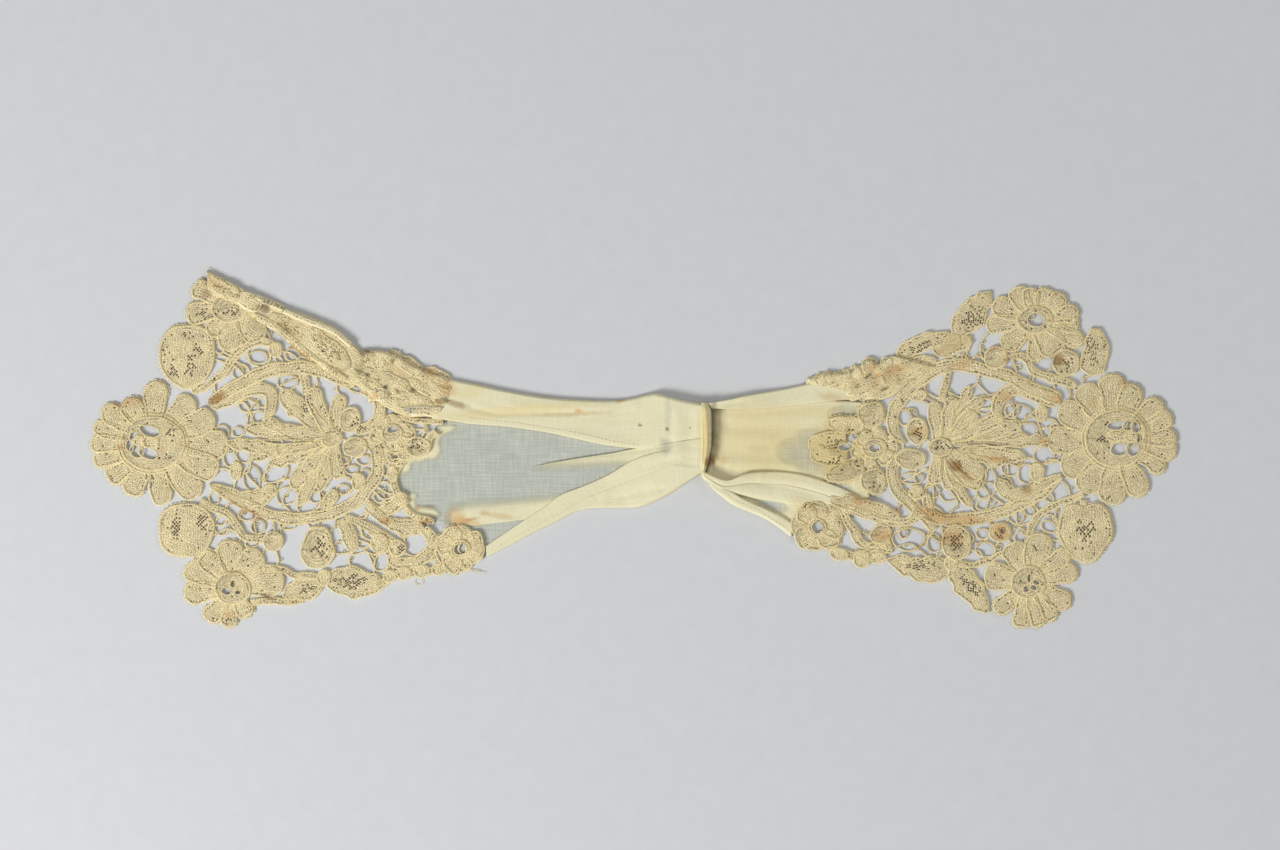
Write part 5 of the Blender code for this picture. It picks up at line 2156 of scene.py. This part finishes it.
class Border:
    """A turned border: its shell, and the motifs and threads that lie on it."""

    def __init__(self, name, text, rise, relief, half_stitch):
        self.name = name
        self.half_stitch = spots(half_stitch)
        self.dice = random.Random(name)
        self.shell, self.motifs, self.outlines = Cloth(), Cloth(), Cloth()
        rows = strip_rows(text, BORDER_FOLD, BORDER_EDGE, rise, 0.5 * MM, relief)
        self.shell.grid([[(point, (*thread[:2], NO_RIM)) for point, thread in row] for row in rows])
        self.tree = BVHTree.FromPolygons(self.shell.points, self.shell.faces)

    def height(self, flat, low=0.45 * MM):
        """The height of the shell under a flat point, or low beside it."""
        hit = self.tree.ray_cast(Vector((flat.x, flat.y, 0.1)), Vector((0, 0, -1)))[0]
        return max(hit.z, low) if hit else low

    def left_out(self, i, j, corner, far_corner):
        """Whether a cell is one of the holes of half stitch."""
        loose = max(cover(spot, (corner + far_corner) / 2) for spot in self.half_stitch)
        return (i + j) % 2 == 0 and self.dice.random() < 0.01 + 0.5 * loose

    def lay(self, rows, outline, lift=0.10 * MM, frilled=False):
        laid = []
        for row in rows:
            laid_row = []
            for j, (flat, thread) in enumerate(row):
                across = 2 * j / (len(row) - 1) - 1
                rise = lift + 0.16 * MM * (1 - across * across) + RIB * (j % 2)
                laid_row.append((Vector((flat.x, flat.y, self.height(flat) + rise)), thread))
            laid.append(laid_row)
        self.motifs.grid(laid, self.left_out)
        path = [Vector((p.x, p.y, self.height(p) + lift + 0.10 * MM)) for p in outline]
        self.outlines.tube(path, BORDER_THREAD)
        if frilled:
            start = len(path) // 5
            edge = []
            for step in range(start, len(path) - start):
                run = path[step + 1] - path[step - 1]
                out = Vector((run.y, -run.x, 0)).normalized() * PICOT_OUT
                edge.append(path[step] + out * (0.2 + 0.8 * (step % 2)))
            self.outlines.tube(edge, 0.16 * MM, 4)

    def pieces(self):
        shell = solidified(self.shell.piece(self.name + "_shell", FOLDED_CLOTH), 0.3 * MM)
        motifs = solidified(self.motifs.piece(self.name + "_motifs", FOLDED_CLOTH), 0.3 * MM)
        outlines = self.outlines.piece(self.name + "_outlines", OUTLINE_THREAD)
        return shell, motifs, outlines


FOLD_MOTIFS_LEFT = """
plain leaf 3.6 208,274 222,283 240,293
plain leaf 3.0 213,286 230,297 250,309
plain stem 2.2 256,297 270,303 284,309
plain petal 5.8 240,297 262,307
plain leaf 9.0 270,316 306,337 350,368
plain stem 2.8 252,315 280,330 312,358 346,380
plain stem 1.6 284,311 310,322 334,332 352,346
"""
CRUMPLE_MOTIFS_LEFT = """
plain leaf 4.2 352,370 370,384 390,400
plain leaf 4.4 364,368 384,380 404,394
plain leaf 4.4 380,372 398,384 418,400
plain petal 4.4 368,396 388,394
plain leaf 4.0 392,384 410,396 434,407
plain leaf 4.2 384,398 402,403 428,409
plain leaf 3.2 402,410 424,411 448,413
frill petal 3.8 360,366 357,353
frill petal 4.6 369,366 366,351
plain petal 5.2 381,351 380,370
frill petal 3.2 388,362 395,351
frill petal 2.6 394,362 400,353
plain scroll 4.6 397,358 410,365 423,375
plain leaf 4.4 424,369 437,375 451,382
plain leaf 3.6 424,374 438,381 453,389
plain petal 5.0 428,385 453,397
plain leaf 3.0 418,367 424,378 436,389 450,400
plain leaf 3.6 410,378 426,390 446,402
plain leaf 2.4 438,403 456,405 473,407
frill petal 2.6 360,388 366,380
frill petal 2.4 372,394 377,385
frill petal 2.2 384,402 388,393
frill petal 2.4 394,408 397,399
frill petal 2.4 405,414 409,405
frill petal 2.2 417,416 419,408
frill petal 2.4 412,366 409,372
frill petal 2.6 433,376 429,383
"""
CRUMPLE_MOTIFS_RIGHT = """
frill petal 3.4 815,387 808,379
frill petal 3.2 823,385 817,375
frill petal 3.4 831,383 826,372
frill petal 3.2 839,381 836,373
frill petal 3.2 846,379 844,370
frill petal 4.2 858,378 852,367
plain leaf 4.8 868,374 869,357
plain petal 4.0 885,369 887,357
plain leaf 3.2 812,389 830,386 852,378
plain leaf 3.4 866,400 888,391 914,380
plain petal 3.8 898,379 858,398
plain petal 3.8 884,379 847,397
plain petal 3.8 872,377 842,391
plain leaf 3.4 846,385 870,376 898,366
plain leaf 3.6 888,385 908,379 928,370
plain leaf 4.2 878,379 904,371 932,364
plain leaf 3.8 894,367 914,363 936,360
"""


HALF_STITCH_BORDERS = """
x y wide high turn
289 328 8.0 4.4 -35
318 338 5.0 3.0 -40
330 350 9.0 6.0 -45
366 358 3.0 3.0 0
374 390 4.0 2.4 -20
412 388 5.0 3.0 -30
"""


def worked_border(name, text, motifs, rise, relief):
    border = Border(name, text, rise, relief, HALF_STITCH_BORDERS)
    for edge, shape, wide, *line in lines(motifs):
        rows, outline = blade(places(line), float(wide) * MM, shape)
        border.lay(rows, outline, frilled=edge == "frill")
    return border.pieces()


left_fold = worked_border("left_turned_border", BORDER_FOLD_LEFT, FOLD_MOTIFS_LEFT, 0.45,
                          twisted(-32, 0.13, 2.2, 16, 1))
left_crumple = worked_border("left_crumpled_border", BORDER_CRUMPLE_LEFT, CRUMPLE_MOTIFS_LEFT, 0.5,
                             twisted(-34, 0.26, 2.4, 12, 7))
right_crumple = worked_border("right_crumpled_border", BORDER_CRUMPLE_RIGHT, CRUMPLE_MOTIFS_RIGHT, 0.5,
                              twisted(28, 0.2, 2.4, 14, 11))

# %% [markdown]
# Fine sewing holds the hems and the lace: small stitches, just over a millimetre apart. Each is a short thread
# dropped onto the cloth from above. A few loose threads stand out from the lower edge, where stitches broke.

# %% Stitches and loose threads
STITCH_PITCH = 1.25 * MM
STITCH_LENGTH = 0.65 * MM
STITCH_RADIUS = 0.10 * MM
SEAMS_LEFT = """
500,545 516,537 532,528 550,518 562,512 574,505 586,497
588,497 604,491 622,484 640,477 660,470 684,462
470,418 500,421 530,425 556,429 584,434 612,441 640,445
"""
SEAMS_RIGHT = """
722,489 732,498 744,504 758,510 772,519 786,528
"""


def top_surface(pieces):
    """A tree of several pieces, to drop threads on."""
    points, faces = [], []
    for piece in pieces:
        start = len(points)
        points += [v.co.copy() for v in piece.data.vertices]
        faces += [[start + i for i in polygon.vertices] for polygon in piece.data.polygons]
    return BVHTree.FromPolygons(points, faces)


def dropped(tree, flat, lift=0.05 * MM):
    hit = tree.ray_cast(Vector((flat.x, flat.y, 0.1)), Vector((0, 0, -1)))[0]
    return Vector((flat.x, flat.y, (hit.z if hit else 0.3 * MM) + lift))


def running_stitches(cloth, tree, text):
    for words in lines(text):
        points = places(words)
        length = length_of(points)
        count = round(length / STITCH_PITCH)
        for i in range(count):
            start, end = i / count, i / count + STITCH_LENGTH / length
            path = [dropped(tree, spline(points, start + (end - start) * k / 3)) for k in range(4)]
            cloth.tube(path, STITCH_RADIUS, 4, thin_ends=True)


left_tree = top_surface([left_panel] + [piece for name, piece in pleats.items() if name.startswith("left")])
right_tree = top_surface([right_panel] + [piece for name, piece in pleats.items() if name.startswith("right")])
left_stitches, right_stitches = Cloth(), Cloth()
running_stitches(left_stitches, left_tree, SEAMS_LEFT)
running_stitches(right_stitches, right_tree, SEAMS_RIGHT)
left_sewing = left_stitches.piece("left_hem_stitches", GROUND_THREAD)
right_sewing = right_stitches.piece("right_hem_stitches", GROUND_THREAD)

LOOSE_THREADS = """
470,570 475,569.5 480,571 486,573
468,569 474,571 481,571.5
416,579 415,583 419,585 423,583 422,579
452,566 456,570 460,571
900,526 906,531 902,540 897,536 900,528 908,524
206,271 209,268 212,270
"""
loose = Cloth()
for words in lines(LOOSE_THREADS):
    points = places(words)
    path = [spline(points, i / 14) for i in range(15)]
    loose.tube([Vector((p.x, p.y, 0.35 * MM)) for p in path], 0.09 * MM, 4, thin_ends=True)
loose_threads = loose.piece("left_loose_threads", GROUND_THREAD)

# %% [markdown]
# Every piece takes the place of its solid, and that solid is hidden. A table lists each sheet of cloth with the
# size of what shows of its cut, in millimetres. Where that isn't a rectangle its area is given too: for lace, the
# area of cloth in the end.

# %% Places and flat sizes
SHEETS = """
piece                       node                  slot  wide  long  area  held     on
left_lawn_panel             lawn_left             lawn  50    95    3340  laid     table
right_lawn_panel            lawn_right            lawn  45    55    1600  laid     table
left_top_pleat              pleat_top_left        lawn  16    88    1330  folded   left_lawn_panel
left_wedge_pleat            pleat_wedge_left      lawn  10    57    440   folded   left_lawn_panel
left_middle_fold            pleat_fold_left       lawn  10    38    265   folded   left_lawn_panel
left_hem_pleat              pleat_hem_left        lawn  13    76    870   folded   left_lawn_panel
right_top_pleat             pleat_top_right       lawn  10    50    340   folded   right_lawn_panel
right_first_pleat           pleat_first_right     lawn  10    54    330   folded   right_lawn_panel
right_second_pleat          pleat_second_right    lawn  10    47    275   folded   right_lawn_panel
right_hem_pleat             pleat_hem_right       lawn  10    37    210   folded   right_lawn_panel
waist_gathered_roll         waist_roll            lawn  10    26    250   gathered table
left_lace_cloth_stitch      lace_left             lace  125   122   5900  laid     left_lawn_panel
right_lace_cloth_stitch     lace_right            lace  122   120   6300  laid     right_lawn_panel
left_turned_border_shell    border_fold_left      lace  14    52    690   folded   left_lace_cloth_stitch
left_crumpled_border_shell  border_crumple_left   lace  16    40    610   folded   left_lace_cloth_stitch
right_crumpled_border_shell border_crumple_right  lace  16    32    480   folded   right_lace_cloth_stitch
"""
for row in table(SHEETS):
    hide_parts(row["node"])
print(len(table(SHEETS)), "sheets of cloth")

# %% [markdown]
# The floor is a plain pale grey card, and the light is a studio's: one large soft lamp low on the left, which
# draws out the threads, a weaker one opposite and a soft sky. The camera looks straight down on the middle of the
# photo's frame.

# %% Floor, lights and camera
VIEW_WIDTH = PHOTO_WIDTH * PIXEL
CAMERA_HEIGHT = 1.5
SENSOR_WIDTH = 36.0


def floor_material():
    """Matte card: no gloss, and a very faint mottle so that it doesn't look drawn."""
    material = bpy.data.materials.new("pale matte card")
    material.use_nodes = True
    tree = material.node_tree
    shader = tree.nodes["Principled BSDF"]
    shader.inputs["Roughness"].default_value = 0.95
    shader.inputs["IOR"].default_value = 1.45
    shader.inputs["Specular IOR Level"].default_value = 0.2
    grain = add(tree, "TexNoise", {"Scale": 900.0, "Detail": 2.0}).outputs["Fac"]
    card = add(tree, "Mix", {0: grain, 6: linear("#D2D3D4"), 7: linear("#D9DADA")}, **COLOURS)
    tree.links.new(card.outputs[2], shader.inputs["Base Color"])
    return material


floor_mesh = bpy.data.meshes.new("studio_floor")
reach = 2.5
floor_mesh.from_pydata([(-reach, -reach, 0), (reach, -reach, 0), (reach, reach, 0), (-reach, reach, 0)],
                       [], [(0, 1, 2, 3)])
floor_mesh.materials.append(floor_material())
studio_floor = bpy.data.objects.new("studio_floor", floor_mesh)
bpy.context.scene.collection.objects.link(studio_floor)


def soft_lamp(name, at, size, power):
    """A square area lamp that faces the jabot's middle."""
    data = bpy.data.lights.new(name, "AREA")
    data.size = size
    data.energy = power
    lamp = bpy.data.objects.new(name, data)
    lamp.location = at
    lamp.rotation_euler = (-Vector(at)).to_track_quat("-Z", "Y").to_euler()
    bpy.context.scene.collection.objects.link(lamp)
    return lamp


soft_lamp("left_soft_lamp", (-1.0, -0.75, 0.85), 0.45, 20)
soft_lamp("right_soft_lamp", (1.1, 0.6, 1.1), 0.9, 6)
bpy.context.scene.view_settings.view_transform = "Standard"

world = bpy.data.worlds.new("soft studio light")
bpy.context.scene.world = world
world.use_nodes = True
world.node_tree.nodes["Background"].inputs["Color"].default_value = linear("#E8EAEE")
world.node_tree.nodes["Background"].inputs["Strength"].default_value = 0.33

camera_data = bpy.data.cameras.new("camera")
camera_data.sensor_width = SENSOR_WIDTH
camera_data.lens = SENSOR_WIDTH * CAMERA_HEIGHT / VIEW_WIDTH
camera_data.clip_start = 0.01
camera = bpy.data.objects.new("camera", camera_data)
middle = place(PHOTO_WIDTH / 2, PHOTO_HEIGHT / 2)
camera.location = (middle.x, middle.y, CAMERA_HEIGHT)
bpy.context.scene.collection.objects.link(camera)
bpy.context.scene.camera = camera
print("lens", round(camera_data.lens), "mm")
